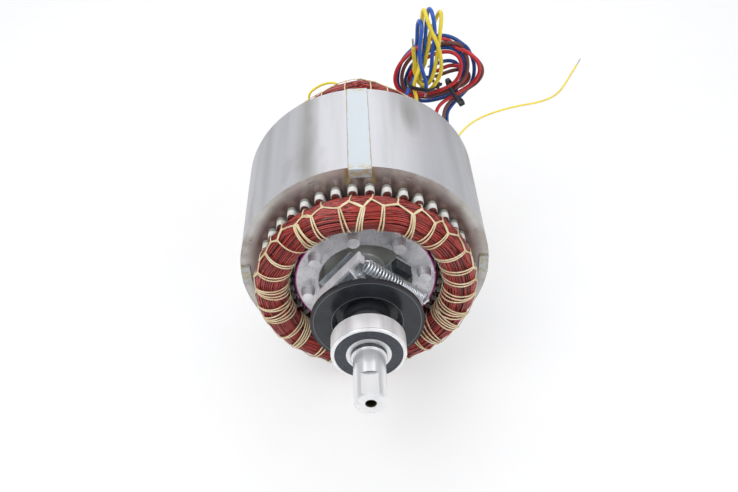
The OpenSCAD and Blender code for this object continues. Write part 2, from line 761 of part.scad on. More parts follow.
module end_ring() {
    rotate_extrude() polygon([[ring_root_r, half_core], [ring_r, half_core],
        [ring_r, ring_face], [ring_mouth_r, ring_face]]);
    for (i = [0:peg_count - 1]) rotate([0, 0, 90 + peg_angle + 360 * i / peg_count])
        translate([peg_circle_r, 0, ring_face - overrun])
        cylinder(h = peg_length + overrun, r1 = peg_root_r, r2 = peg_tip_r, $fn = 32);
}

module rotor_cage() color(aluminium) along_shaft() {
    end_ring();
    mirror([0, 0, 1]) end_ring();
    each_bar() cylinder(h = bar_length, r = bar_r, center = true, $fn = 24);
}

module shaft() color(bright_steel) along_shaft() difference() {
    union() {
        cylinder(h = core_length, r = shaft_core_r, center = true);
        translate([0, 0, half_core - overrun])
            cylinder(h = front_shoulder - half_core + overrun, r = journal_r);
        translate([0, 0, front_shoulder - overrun])
            cylinder(h = front_width + seat_rest + overrun, r = front_in_r - seat_gap);
        cylinder(h = drive_end - shaft_chamfer, r = drive_r);
        translate([0, 0, drive_end - shaft_chamfer])
            cylinder(h = shaft_chamfer, r1 = drive_r, r2 = drive_r - shaft_chamfer);
        mirror([0, 0, 1]) {
            cylinder(h = rear_shoulder, r = rear_journal_r);
            cylinder(h = rear_face + rear_stub - shaft_chamfer, r = rear_in_r - seat_gap);
            translate([0, 0, rear_face + rear_stub - shaft_chamfer])
                cylinder(h = shaft_chamfer, r1 = rear_in_r - seat_gap, r2 = rear_in_r - shaft_chamfer);
        }
    }
    translate([-drive_r, drive_r - flat_depth, drive_end - flat_length])
        cube([2 * drive_r, drive_r, flat_length + overrun]);
    translate([0, 0, drive_end - centre_hole_depth])
        cylinder(h = centre_hole_depth + overrun, r = centre_hole_r, $fn = 48);
    translate([0, 0, drive_end - (centre_mouth_r - centre_hole_r)])
        cylinder(h = centre_mouth_r - centre_hole_r, r1 = centre_hole_r, r2 = centre_mouth_r, $fn = 48);
}

// Bearings, each drawn about its middle
module outer_ring(out_r, width, ball_r, pitch_r) {
    wall_r = out_r - race_t;
    seat_r = wall_r + seal_seat;
    seat_from = width / 2 - seal_sink - seal_t;
    rotate_extrude() difference() {
        polygon([[wall_r, -seat_from], [seat_r, -seat_from], [seat_r, -width / 2],
            [out_r - bearing_chamfer, -width / 2], [out_r, bearing_chamfer - width / 2],
            [out_r, width / 2 - bearing_chamfer], [out_r - bearing_chamfer, width / 2],
            [seat_r, width / 2], [seat_r, seat_from], [wall_r, seat_from]]);
        translate([pitch_r, 0]) circle(ball_r + ball_gap, $fn = 48);
    }
}

module inner_ring(in_r, width, ball_r, pitch_r) rotate_extrude() difference() {
    translate([in_r, -width / 2]) square([race_t, width]);
    translate([pitch_r, 0]) circle(ball_r + ball_gap, $fn = 48);
}

module seals(in_r, out_r, width) for (side = [0, 1]) mirror([0, 0, side])
    translate([0, 0, width / 2 - seal_sink - seal_t]) difference() {
        cylinder(h = seal_t, r = out_r - race_t + seal_seat - seat_gap);
        translate([0, 0, -overrun]) cylinder(h = seal_t + 2 * overrun, r = in_r + race_t + ball_gap);
    }

module balls(ball_r, pitch_r, count) for (i = [0:count - 1]) rotate([0, 0, 360 * i / count])
    translate([pitch_r, 0, 0]) sphere(ball_r, $fn = 32);

module retainer(width, ball_r, pitch_r, count) {
    height = width - 2 * (seal_sink + seal_t + pocket_gap);
    difference() {
        cylinder(h = height, r = pitch_r + retainer_t / 2, center = true);
        cylinder(h = height + 2 * overrun, r = pitch_r - retainer_t / 2, center = true);
        for (i = [0:count - 1]) rotate([0, 90, 360 * i / count])
            translate([0, 0, pitch_r - retainer_t])
                cylinder(h = 2 * retainer_t, r = ball_r + pocket_gap);
    }
}

module at_front_bearing() along_shaft() translate([0, 0, front_face - front_width / 2]) children();
module at_rear_bearing() along_shaft() translate([0, 0, rear_width / 2 - rear_face]) children();

module front_bearing_inner_ring() color(bright_steel) at_front_bearing()
    inner_ring(front_in_r, front_width, front_ball_r, front_pitch_r);
module front_bearing_outer_ring() color(bright_steel) at_front_bearing()
    outer_ring(front_out_r, front_width, front_ball_r, front_pitch_r);
module front_bearing_seals() color(seal_black) at_front_bearing()
    seals(front_in_r, front_out_r, front_width);
module front_bearing_balls() color(bright_steel) at_front_bearing()
    balls(front_ball_r, front_pitch_r, front_balls);
module front_bearing_retainer() color(steel) at_front_bearing()
    retainer(front_width, front_ball_r, front_pitch_r, front_balls);
module rear_bearing_inner_ring() color(bright_steel) at_rear_bearing()
    inner_ring(rear_in_r, rear_width, rear_ball_r, rear_pitch_r);
module rear_bearing_outer_ring() color(bright_steel) at_rear_bearing()
    outer_ring(rear_out_r, rear_width, rear_ball_r, rear_pitch_r);
module rear_bearing_seals() color(seal_black) at_rear_bearing()
    seals(rear_in_r, rear_out_r, rear_width);
module rear_bearing_balls() color(bright_steel) at_rear_bearing()
    balls(rear_ball_r, rear_pitch_r, rear_balls);
module rear_bearing_retainer() color(steel) at_rear_bearing()
    retainer(rear_width, rear_ball_r, rear_pitch_r, rear_balls);

// Governor, with X along the springs and Y across them
module governor_spool() color(black_plastic) along_shaft() difference() {
    rotate_extrude() polygon([
        [journal_r + spool_gap, spool_back], [flange_r, spool_back],
        [flange_r, pivot_z - groove_half], [groove_r, pivot_z - groove_half],
        [groove_r, pivot_z + groove_half], [flange_r, pivot_z + groove_half],
        [flange_r, bowl_floor - bowl_t], [bowl_r, bowl_floor - bowl_t],
        [bowl_r + bowl_t, disc_face - disc_t], [disc_r, disc_face - disc_t],
        [disc_r, disc_face], [bowl_r, disc_face], [bowl_r - bowl_t, bowl_floor],
        [hub_r, bowl_floor], [hub_r, disc_face + hub_rise],
        [journal_r + spool_gap, disc_face + hub_rise]]);
}

module governor_base() color(zinc) governor_frame() difference() {
    union() {
        translate([-base_half, -base_span / 2, base_z]) cube([2 * base_half, base_span, base_t]);
        each_way() translate([0, 0, base_z]) cube([block_length, block_n + block_w, base_t]);
        translate([0, 0, base_z - base_hub_reach])
            cylinder(h = 2 * base_hub_reach + base_t, r = journal_r + base_hub_t);
        for (n = [-1, 1]) for (s = [-1, 1]) side_plate(n * (ear_n + ear_t / 2), ear_t) {
            translate([s * pivot_s - ear_w / 2, base_z]) square([ear_w, pivot_z - base_z]);
            translate([s * pivot_s, pivot_z]) circle(boss_r);
        }
    }
    cylinder(h = 2 * pivot_z, r = journal_r + seat_gap);
    for (s = [-1, 1]) side_plate(0, base_span + 2 * overrun)
        translate([s * pivot_s, pivot_z]) circle(pin_r + seat_gap, $fn = 32);
}

module governor_side_blocks() color(black_plastic) governor_frame() each_way()
    translate([0, block_n, base_front]) cube([block_length, block_w, block_height]);

module governor_pivot_pins() color(bright_steel) governor_frame()
    for (s = [-1, 1]) side_plate(0, 2 * pin_reach) translate([s * pivot_s, pivot_z]) circle(pin_r, $fn = 32);

// One arm of a weight, in the plane of the springs and the shaft
module weight_arm() {
    polygon([
        [-plate_s - plate_t, plate_back], [-plate_s + arm_t, plate_back],
        [-pivot_s + boss_r / 2, pivot_z - boss_r], [-finger_s, pivot_z - finger_r],
        [-finger_s, pivot_z + finger_r], [-pivot_s, pivot_z + boss_r],
        [-pivot_s - boss_r, pivot_z + finger_r], [-plate_s - plate_t, plate_front]]);
    translate([-pivot_s, pivot_z]) circle(boss_r);
    translate([-finger_s, pivot_z]) circle(finger_r, $fn = 32);
}

module weight_body() difference() {
    union() {
        for (n = [-arm_n, arm_n]) side_plate(n, arm_t) weight_arm();
        for (n = [-1, 1]) side_plate(n * (finger_end_n + arm_n) / 2, arm_n - finger_end_n)
            translate([-finger_s, pivot_z]) circle(finger_r, $fn = 32);
        children();
    }
    side_plate(0, 2 * arm_span) translate([-pivot_s, pivot_z]) circle(pin_r + pin_gap, $fn = 32);
}

module left_governor_weight() {
    lug_w = 2 * plate_t;
    color(zinc) governor_frame() weight_body() {
        translate([-plate_s - plate_t, -plate_span / 2, plate_back])
            cube([plate_t, plate_span, plate_depth]);
        for (n = [0, 1]) mirror([0, n, 0])
            translate([-plate_s - plate_t, plate_span / 2 - tab_t, plate_back + plate_depth * tab_from_share])
            cube([plate_t + 2 * tab_t, tab_t, plate_depth * (1 - tab_from_share)]);
        translate([-plate_s - plate_t, -lug_place_share * lug_w, plate_front - tab_t])
            cube([plate_t + 2 * tab_t, lug_w, tab_t]);
    }
}

module right_governor_weight() {
    inner_span = 2 * (spring_n - open_curl_r - 2 * wire_r);
    ear_half = anchor_share * open_curl_r;
    nub_length = tab_t;
    color(zinc) governor_frame() rotate([0, 0, 180]) weight_body() {
        translate([-plate_s - plate_t, -inner_span / 2, plate_back])
            cube([plate_t, inner_span, plate_depth]);
        translate([-plate_s - plate_t, -plate_span / 2, plate_back])
            cube([plate_t, plate_span, tab_t]);
        for (n = [-spring_n, spring_n]) translate([0, n, 0]) {
            translate([-anchor_s - tab_t, -ear_half, plate_back])
                cube([anchor_s + tab_t - plate_s, 2 * ear_half, tab_t]);
            translate([-anchor_s - tab_t, -ear_half, plate_back])
                cube([tab_t, 2 * ear_half, spring_z + ear_half - plate_back]);
            translate([-anchor_s - tab_t - nub_length, 0, spring_z]) rotate([0, 90, 0])
                cylinder(h = nub_length + overrun, r = wire_r + tab_t / 4, $fn = 24);
        }
    }
}

// A spring runs from the left weight's plate to the right weight's ears
function curl(from, to, r_from, r_to, curls, first) = [for (k = [first:rings_per_curl * curls])
    let (t = k / (rings_per_curl * curls), r = r_from + (r_to - r_from) * t, a = 360 * curls * t)
    [from + (to - from) * t, r * cos(a), r * sin(a)]];
function spring_path() = let (
        left = -plate_s,
        straight = 2 * wire_r,
        away = -open_from - left)
    concat(
        [[left, 0, 0], [left + straight, 0, 0]],
        [for (s = lead_in_shares) [left + s.x * away, s.y * open_curl_r, s.z * open_curl_r]],
        curl(-open_from, close_from, open_curl_r, close_curl_r, open_curls, 0),
        curl(close_from, close_to, close_curl_r, close_curl_r, close_curls, 1),
        [[close_to + straight / 2, lead_out_shares.x * close_curl_r, lead_out_shares.y * close_curl_r]],
        [[anchor_s - straight, 0, 0], [anchor_s, 0, 0]]);

module governor_spring(n) {
    path = spring_path();
    echo("least gap between a spring's curls", least_gap(path, wire_r, 5));
    color(zinc) governor_frame() translate([0, n, spring_z]) tube(path, wire_r, strand_sides);
}

module upper_governor_spring() governor_spring(spring_n);
module lower_governor_spring() governor_spring(-spring_n);

stator_core();
core_cleats();
slot_liners();
slot_wedges();
slot_coils();
front_end_winding();
rear_end_winding();
front_end_turns();
rear_end_turns();
front_lacing();
rear_lacing();
winding_jumper();
yellow_lead_tail();
yellow_lead_hank();
blue_lead_tail();
blue_lead_hank();
red_lead_tail();
red_lead_hank();
brown_lead_tail();
brown_lead_hank();
dark_blue_lead_tail();
dark_blue_lead_hank();
small_hank_tie();
large_hank_tie();
free_yellow_lead();
free_lead_bare_end();
rotor_core();
rotor_cage();
shaft();
governor_base();
governor_side_blocks();
governor_pivot_pins();
upper_governor_spring();
lower_governor_spring();
left_governor_weight();
right_governor_weight();
governor_spool();
front_bearing_inner_ring();
front_bearing_outer_ring();
front_bearing_seals();
front_bearing_balls();
front_bearing_retainer();
rear_bearing_inner_ring();
rear_bearing_outer_ring();
rear_bearing_seals();
rear_bearing_balls();
rear_bearing_retainer();
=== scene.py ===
import math

import bpy
import numpy as np
from mathutils import Matrix, Vector


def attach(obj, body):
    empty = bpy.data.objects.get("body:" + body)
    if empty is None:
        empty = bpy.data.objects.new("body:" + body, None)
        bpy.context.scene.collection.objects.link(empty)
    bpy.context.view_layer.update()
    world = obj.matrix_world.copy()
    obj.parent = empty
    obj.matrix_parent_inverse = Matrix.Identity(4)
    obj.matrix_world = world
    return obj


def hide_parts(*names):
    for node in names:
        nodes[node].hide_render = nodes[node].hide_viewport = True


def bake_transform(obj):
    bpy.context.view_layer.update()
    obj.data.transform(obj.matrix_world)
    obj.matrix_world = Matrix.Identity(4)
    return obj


# The motor's shaft lies along Y, its drive end points along -Y, and Z is up. Lengths are in metres.
MM = 0.001
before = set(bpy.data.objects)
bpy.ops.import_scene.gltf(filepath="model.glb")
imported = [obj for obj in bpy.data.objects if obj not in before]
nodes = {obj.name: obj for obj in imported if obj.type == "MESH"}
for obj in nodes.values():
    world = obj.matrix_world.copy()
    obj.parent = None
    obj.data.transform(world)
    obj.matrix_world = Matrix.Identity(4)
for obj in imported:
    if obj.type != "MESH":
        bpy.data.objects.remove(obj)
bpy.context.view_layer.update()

# Sizes shared with the construction, and the table's height under the core
FLOOR_Z = -93.34 * MM
SLOTS = 40
SLOT_PITCH = math.radians(360 / SLOTS)
SLOT_OUT_R = 79.5 * MM
WIRE_R = 0.6 * MM
LEAD_R = 1.6 * MM
THIN_LEAD_R = 1.0 * MM


# Materials
class Tree:
    """The node tree of a material or a world."""

    def __init__(self, owner):
        self.tree = owner.node_tree

    def feed(self, socket, value):
        """Links a socket to another one, or sets it to a plain value."""
        if isinstance(value, bpy.types.NodeSocket):
            self.tree.links.new(value, socket)
        else:
            socket.default_value = value

    def node(self, kind, inputs=None, **settings):
        made = self.tree.nodes.new(kind)
        for key, value in settings.items():
            setattr(made, key, value)
        for key, value in (inputs or {}).items():
            self.feed(made.inputs[key], value)
        return made

    def surface(self, output, share, a, b):
        """Ends the tree with a mix of two shaders."""
        both = self.node("ShaderNodeMixShader", {"Fac": share, 1: a, 2: b})
        self.feed(self.tree.nodes[output].inputs["Surface"], both.outputs["Shader"])


class Graph(Tree):
    """A material's node tree, with short calls for the nodes that the finishes share."""

    def __init__(self, name, metallic=0.0, roughness=0.5):
        self.material = bpy.data.materials.new(name)
        self.material.use_nodes = True
        super().__init__(self.material)
        self.shader = self.tree.nodes["Principled BSDF"]
        self.give("Metallic", metallic)
        self.give("Roughness", roughness)
        texture_coordinates = self.node("ShaderNodeTexCoord")
        self.coordinates = texture_coordinates.outputs["Object"]
        self.directions = texture_coordinates.outputs["Normal"]

    def give(self, name, value):
        """Feeds an input of the material's shader."""
        self.feed(self.shader.inputs[name], value)

    def place(self):
        """The outputs X, Y and Z, in metres."""
        return self.node("ShaderNodeSeparateXYZ", {"Vector": self.coordinates}).outputs

    def noise(self, scale, detail=3.0):
        """Noise that stays mostly between 0.3 and 0.7. The scale is one number, or one for each axis."""
        scale = scale if isinstance(scale, tuple) else (scale, scale, scale)
        mapping = self.node("ShaderNodeMapping", {"Vector": self.coordinates, "Scale": scale})
        inputs = {"Vector": mapping.outputs["Vector"], "Scale": 1.0, "Detail": detail, "Roughness": 0.55}
        return self.node("ShaderNodeTexNoise", inputs).outputs["Fac"]

    def ramp(self, value, *stops):
        """The colour of a value, from pairs of a place on the ramp and a colour."""
        made = self.node("ShaderNodeValToRGB", {"Fac": value})
        elements = made.color_ramp.elements
        while len(elements) < len(stops):
            elements.new(0.5)
        for element, (place, colour) in zip(elements, stops):
            element.position = place
            element.color = (*colour, 1)
        return made.outputs["Color"]

    def spread(self, value, low, high, to_low, to_high):
        """Moves a value from one range to another, and holds it there."""
        inputs = {"Value": value, "From Min": low, "From Max": high, "To Min": to_low, "To Max": to_high}
        return self.node("ShaderNodeMapRange", inputs).outputs["Result"]

    def over(self, noise, low, high):
        """A value that goes from low to high over a noise's usual range."""
        return self.spread(noise, 0.3, 0.7, low, high)

    def rise(self, value, start, full, share=1.0):
        """Nothing up to start, and a share from full on. Full may be the lower of the two."""
        return self.spread(value, start, full, 0.0, share)

    def fall(self, value, full, end, share=1.0):
        """A share up to full, and nothing from end on."""
        return self.spread(value, full, end, share, 0.0)

    def maths(self, operation, *values):
        return self.node("ShaderNodeMath", dict(enumerate(values)), operation=operation).outputs["Value"]

    def times(self, a, b):
        return self.maths("MULTIPLY", a, b)

    def absolute(self, value):
        return self.maths("ABSOLUTE", value)

    def off(self, value, middle):
        """How far a value is from a middle one."""
        return self.absolute(self.maths("SUBTRACT", value, middle))

    def distance(self, a, b):
        """How far a point is from the middle, by its offsets in two directions."""
        return self.maths("SQRT", self.maths("ADD", self.times(a, a), self.times(b, b)))

    def radius(self):
        """Distance from the shaft's axis."""
        x, _, z = self.place()
        return self.distance(x, z)

    def facing_along_shaft(self):
        """1 where a surface faces along the shaft and 0 where it faces square to it."""
        split = self.node("ShaderNodeSeparateXYZ", {"Vector": self.directions})
        return self.absolute(split.outputs["Y"])

    # The mix node's sockets go by number, because its colours and values share their names
    def mix(self, share, a, b):
        """Turns one colour by a share to another one, which may be plain."""
        b = (*b, 1) if isinstance(b, tuple) else b
        return self.node("ShaderNodeMix", {0: share, 6: a, 7: b}, data_type="RGBA").outputs[2]

    def mix_values(self, share, a, b):
        return self.node("ShaderNodeMix", {0: share, 2: a, 3: b}, data_type="FLOAT").outputs[0]

    def colour(self, value):
        self.give("Base Color", value)

    def rough(self, noise, low, high):
        self.give("Roughness", self.over(noise, low, high))

    def bump(self, height, strength, depth):
        made = self.node("ShaderNodeBump", {"Height": height, "Strength": strength, "Distance": depth})
        self.give("Normal", made.outputs["Normal"])

    def coat(self, weight, roughness):
        self.give("Coat Weight", weight)
        self.give("Coat Roughness", roughness)


def shaded(tint, factor, lift=0.0):
    """A paler or darker colour."""
    return tuple(min(1.0, factor * c + lift) for c in tint)


# The fine lines of stacked sheets, for noise
SHEETS = (3, 1700, 3)


def lamination_steel():
    """Stacked sheets with streaks along the shaft, and end faces that winding varnish has run over, with
    painted shade and a painted reflection of the red winding near it.
    """
    g = Graph("lamination_steel", metallic=0.4, roughness=0.4)
    sheets = g.noise(SHEETS, 2.0)
    streaks = g.noise((34, 2.5, 34), 4.0)
    blotches = g.noise((20, 9, 20))
    across, along, up = g.place()
    # The outer face, with a smudge on the right and a darker band on the left
    smudge_x, smudge_y, band_x = 39.5 * MM, 24 * MM, -38 * MM
    outer = g.ramp(streaks, (0.3, (0.37, 0.37, 0.38)), (0.5, (0.52, 0.52, 0.54)), (0.7, (0.6, 0.595, 0.625)))
    outer = g.mix(g.rise(blotches, 0.56, 0.72, 0.55), outer, (0.25, 0.225, 0.19))
    from_smudge = g.distance(g.times(g.off(across, smudge_x), 2.6), g.times(g.off(along, smudge_y), 0.7))
    smudge = g.times(g.fall(from_smudge, 6 * MM, 22 * MM, 0.75), g.spread(streaks, 0.3, 0.6, 1.0, 0.6))
    band = g.fall(g.off(across, band_x), 2 * MM, 10 * MM, 0.45)
    band = g.times(band, g.spread(blotches, 0.35, 0.6, 0.5, 1.0))
    outer = g.mix(g.maths("MAXIMUM", smudge, band), outer, (0.17, 0.155, 0.13))
    outer = g.mix(g.rise(sheets, 0.35, 0.65, 0.1), outer, (0.25, 0.255, 0.27))
    # The end faces, with painted shade and a painted reflection of the red winding near it, pale drips above
    # it and amber at the cleat's foot
    cleat_edge_x = 9.2 * MM
    runs = g.noise((45, 10, 45), 5.0)
    drips = g.noise((170, 10, 26))
    face = g.ramp(runs, (0.3, (0.36, 0.31, 0.28)), (0.5, (0.53, 0.515, 0.485)), (0.72, (0.64, 0.645, 0.615)))
    # Painted shade and a painted reflection of the red winding: dark red on the face inwards of 82.5 mm,
    # fading out by 90.5 mm
    face = g.mix(g.fall(g.radius(), 82.5 * MM, 90.5 * MM, 0.85), face, (0.13, 0.06, 0.05))
    dripped = g.times(g.rise(up, 70 * MM, 80 * MM, 0.55), g.rise(drips, 0.48, 0.62))
    face = g.mix(dripped, face, (0.5, 0.44, 0.38))
    off_cleat = g.off(g.absolute(across), cleat_edge_x)
    pooled = g.times(g.fall(off_cleat, 0.6 * MM, 2.6 * MM), g.rise(up, 77.5 * MM, 81.5 * MM))
    pooled = g.times(pooled, g.spread(runs, 0.38, 0.55, 0.25, 0.9))
    face = g.mix(pooled, face, (0.4, 0.29, 0.1))
    on_face = g.rise(g.facing_along_shaft(), 0.8, 0.95)
    g.colour(g.mix(on_face, outer, face))
    g.give("Roughness", g.mix_values(on_face, g.over(streaks, 0.42, 0.52), g.over(runs, 0.18, 0.28)))
    g.bump(sheets, 0.2, 0.12 * MM)
    return g.material


def rotor_steel():
    """Turned laminations, dull and a little green inside the end rings."""
    g = Graph("rotor_steel", metallic=0.45, roughness=0.42)
    cloud = g.noise(70, 4.0)
    base = g.ramp(cloud, (0.3, (0.42, 0.425, 0.385)), (0.55, (0.58, 0.58, 0.53)), (0.8, (0.68, 0.67, 0.62)))
    g.colour(base)
    g.rough(cloud, 0.34, 0.5)
    g.bump(g.noise(SHEETS, 2.0), 0.2, 0.12 * MM)
    return g.material


def zinc_plate(name, tint, metallic):
    """Plating with a soft cloud of paler and duller spots, and a fine grain."""
    g = Graph(name, metallic=metallic, roughness=0.36)
    spangle = g.noise((90, 30, 90), 4.0)
    fine = g.noise((700, 120, 700), 2.0)
    g.colour(g.ramp(spangle, (0.3, shaded(tint, 0.78)), (0.55, tint), (0.8, shaded(tint, 1.12))))
    g.rough(fine, 0.27, 0.46)
    g.bump(fine, 0.12, 0.1 * MM)
    return g.material


def cleat_zinc():
    """Plated strap, with amber varnish that has run in at both ends and along its edges."""
    g = Graph("cleat_zinc", metallic=0.45, roughness=0.5)
    cloud = g.noise((60, 12, 60), 4.0)
    base = g.ramp(cloud, (0.3, (0.44, 0.48, 0.51)), (0.6, (0.51, 0.555, 0.585)), (0.8, (0.56, 0.605, 0.63)))
    x, y, z = g.place()
    ends = g.rise(g.absolute(y), 45.5 * MM, 52.5 * MM)
    off_middle = g.maths("MINIMUM", g.absolute(x), g.absolute(z))
    edges = g.rise(off_middle, 7.1 * MM, 7.8 * MM)
    run = g.noise(320, 4.0)
    beads = g.noise((260, 110, 260))
    amber = g.maths("MAXIMUM", g.times(ends, g.rise(run, 0.46, 0.62, 0.75)),
                    g.times(edges, g.rise(beads, 0.47, 0.58, 0.8)))
    g.colour(g.mix(amber, base, (0.46, 0.35, 0.11)))
    g.rough(cloud, 0.38, 0.55)
    g.bump(run, 0.15, 0.2 * MM)
    return g.material


def slot_paper():
    """White paper with amber stains, and painted shade in dark grey up to the cuffs at its ends."""
    g = Graph("slot_paper", roughness=0.6)
    fibre = g.noise((500, 60, 500))
    base = g.ramp(fibre, (0.3, (0.8, 0.8, 0.77)), (0.7, (0.9, 0.9, 0.88)))
    base = g.mix(g.rise(g.noise(120), 0.56, 0.7, 0.5), base, (0.66, 0.6, 0.38))
    # Painted shade: dark grey on the liner inside its slot and at its root, up to the cuffs
    painted_slot_shade = g.fall(g.absolute(g.place()["Y"]), 54.2 * MM, 55.6 * MM, 0.85)
    g.colour(g.mix(painted_slot_shade, base, (0.19, 0.19, 0.16)))
    g.bump(fibre, 0.2, 0.1 * MM)
    g.coat(0.25, 0.3)
    return g.material


def enamel(name, dark, mid, bright):
    """Enamelled wire: deep colour that varies from wire to wire, under a clear gloss."""
    g = Graph(name, metallic=0.25, roughness=0.32)
    along = g.noise(260)
    from_wire = g.node("ShaderNodeNewGeometry").outputs["Random Per Island"]
    mixed = g.maths("ADD", g.times(along, 0.45), g.times(from_wire, 0.55))
    g.colour(g.ramp(mixed, (0.15, dark), (0.45, mid), (0.78, bright)))
    g.rough(along, 0.24, 0.42)
    g.coat(0.5, 0.15)
    return g.material


def lacing_cord():
    """Straw-coloured cord, with painted shade between its strands."""
    g = Graph("lacing_cord", roughness=0.62)
    cloud = g.noise(110)
    lay = g.noise(1400, 2.0)
    base = g.ramp(cloud, (0.3, (0.6, 0.45, 0.25)), (0.55, (0.81, 0.68, 0.44)), (0.8, (0.9, 0.81, 0.58)))
    # Painted shade between the strands: a darker straw over the fine lay noise
    g.colour(g.mix(g.rise(lay, 0.4, 0.6, 0.22), base, (0.5, 0.4, 0.22)))
    g.bump(lay, 0.5, 0.25 * MM)
    return g.material


def insulation(name, tint, cloudy=0.18, roughness=0.33):
    """Extruded lead insulation, a little waxy, with faint marks of handling."""
    g = Graph(name, roughness=roughness)
    scuff = g.noise((900, 900, 200), 2.0)
    dull, pale = shaded(tint, 1 - cloudy), shaded(tint, 1.1, 0.01)
    g.colour(g.ramp(g.noise(70), (0.3, dull), (0.6, tint), (0.85, pale)))
    g.give("Roughness", g.spread(scuff, 0.35, 0.65, roughness - 0.07, roughness + 0.09))
    g.bump(scuff, 0.06, 0.1 * MM)
    return g.material


def grained(name, scale, detail, dark, pale, strength, depth, **shading):
    """Two shades of one colour over a grain that also stands up a little."""
    g = Graph(name, **shading)
    grain = g.noise(scale, detail)
    g.colour(g.ramp(grain, (0.3, dark), (0.7, pale)))
    g.bump(grain, strength, depth)
    return g.material


def cast_aluminium():
    """Skimmed casting, with a magenta marking line round the rim of its drive end."""
    g = Graph("cast_aluminium", metallic=0.45, roughness=0.42)
    grain = g.noise(260, 4.0)
    cloud = g.noise(75, 5.0)
    pits = g.noise(650, 2.0)
    base = g.ramp(cloud, (0.3, (0.5, 0.5, 0.52)), (0.48, (0.76, 0.76, 0.785)), (0.72, (0.93, 0.92, 0.945)))
    base = g.mix(g.rise(pits, 0.6, 0.68, 0.5), base, (0.3, 0.3, 0.31))
    radius = g.radius()
    # Painted shade of the recess: a darker greenish grey on the end ring's inner wall
    base = g.mix(g.rise(radius, 35.2 * MM, 34 * MM, 0.7), base, (0.5, 0.505, 0.455))
    rim = g.times(g.rise(radius, 51.2 * MM, 51.7 * MM), g.spread(grain, 0.3, 0.42, 0.2, 1.0))
    front = g.rise(g.place()["Y"], -56 * MM, -57.5 * MM)
    g.colour(g.mix(g.times(rim, front), base, (0.42, 0.018, 0.25)))
    g.rough(grain, 0.33, 0.52)
    g.bump(grain, 0.3, 0.2 * MM)
    return g.material


def ground_steel():
    """Ground pins, with faint rings round them."""
    g = Graph("ground_steel", metallic=1.0, roughness=0.22)
    tint = (0.8, 0.8, 0.81)
    rings = g.noise((4, 2600, 4), 2.0)
    g.colour(g.ramp(g.noise((60, 30, 60)), (0.3, shaded(tint, 0.88)), (0.7, tint)))
    g.rough(rings, 0.176, 0.297)
    g.bump(rings, 0.1, 0.05 * MM)
    return g.material


def drive_steel():
    """Ground shaft: painted shade on the step in front of the bearing, and a centre hole painted dark brown.
    """
    g = Graph("drive_steel", metallic=0.65, roughness=0.3)
    cloud = g.noise((90, 40, 90), 2.0)
    soft = g.noise((40, 12, 40), 0.0)
    base = g.ramp(cloud, (0.3, (0.78, 0.78, 0.79)), (0.55, (0.86, 0.86, 0.865)), (0.8, (0.91, 0.91, 0.91)))
    radius = g.radius()
    y = g.place()["Y"]
    in_front = g.rise(y, -138 * MM, -139.2 * MM)
    # Painted shade: near black on the bearing seat's step in front of the bearing
    step = g.times(in_front, g.rise(radius, 12.25 * MM, 12.4 * MM, 0.93))
    base = g.mix(step, base, (0.018, 0.018, 0.02))
    # Painted shade: dark on the journal between the bearing and the spool
    painted_journal_shade = g.times(g.rise(y, -124.9 * MM, -124.6 * MM), g.rise(y, -60 * MM, -61 * MM, 0.9))
    base = g.mix(painted_journal_shade, base, (0.055, 0.056, 0.06))
    # Painted shade: dark on the end wall of the shaft's flat
    flat_end_y = -163 * MM
    flat_end = g.times(g.fall(g.off(y, flat_end_y), 0.2 * MM, 0.4 * MM, 0.8), g.facing_along_shaft())
    base = g.mix(flat_end, base, (0.07, 0.07, 0.075))
    # The centre hole is coloured dark brown
    hole = g.times(in_front, g.rise(radius, 3.9 * MM, 3.7 * MM))
    g.colour(g.mix(hole, base, (0.05, 0.037, 0.022)))
    g.rough(soft, 0.27, 0.32)
    return g.material


def bearing_steel():
    """Ground rings with faint streaks across, and a fine line of painted shade behind the drive end's
    chamfer.
    """
    g = Graph("bearing_steel", metallic=0.5, roughness=0.34)
    streaks = g.noise((230, 6, 230))
    base = g.ramp(streaks, (0.3, (0.78, 0.78, 0.79)), (0.5, (0.9, 0.9, 0.91)), (0.75, (0.96, 0.96, 0.965)))
    # Painted shade: a fine dark line on the rings' sides just behind the drive end's chamfer
    chamfer_y = -138.8 * MM
    line = g.fall(g.off(g.place()["Y"], chamfer_y), 0.1 * MM, 0.3 * MM, 0.75)
    line = g.times(line, g.fall(g.facing_along_shaft(), 0.3, 0.8))
    g.colour(g.mix(line, base, (0.2, 0.19, 0.17)))
    g.rough(streaks, 0.28, 0.4)
    return g.material


def black_phenolic():
    """Moulded black plastic, with a painted highlight line near the disc's rim and one round the bowl's
    mouth.
    """
    g = Graph("black_phenolic", roughness=0.3)
    cloud = g.noise(90, 4.0)
    base = g.ramp(cloud, (0.3, (0.02, 0.022, 0.026)), (0.7, (0.034, 0.037, 0.043)))
    radius = g.radius()
    # Painted highlights: paler lines at the disc's rim and round the bowl's mouth
    for painted_highlight_r in (38.2 * MM, 25.3 * MM):
        line = g.fall(g.off(radius, painted_highlight_r), 0.1 * MM, 0.5 * MM, 0.6)
        base = g.mix(line, base, (0.2, 0.21, 0.22))
    g.colour(base)
    g.rough(cloud, 0.13, 0.2)
    g.give("Specular IOR Level", 0.4)
    g.bump(g.noise((5, 1500, 5), 2.0), 0.02, 0.05 * MM)
    return g.material


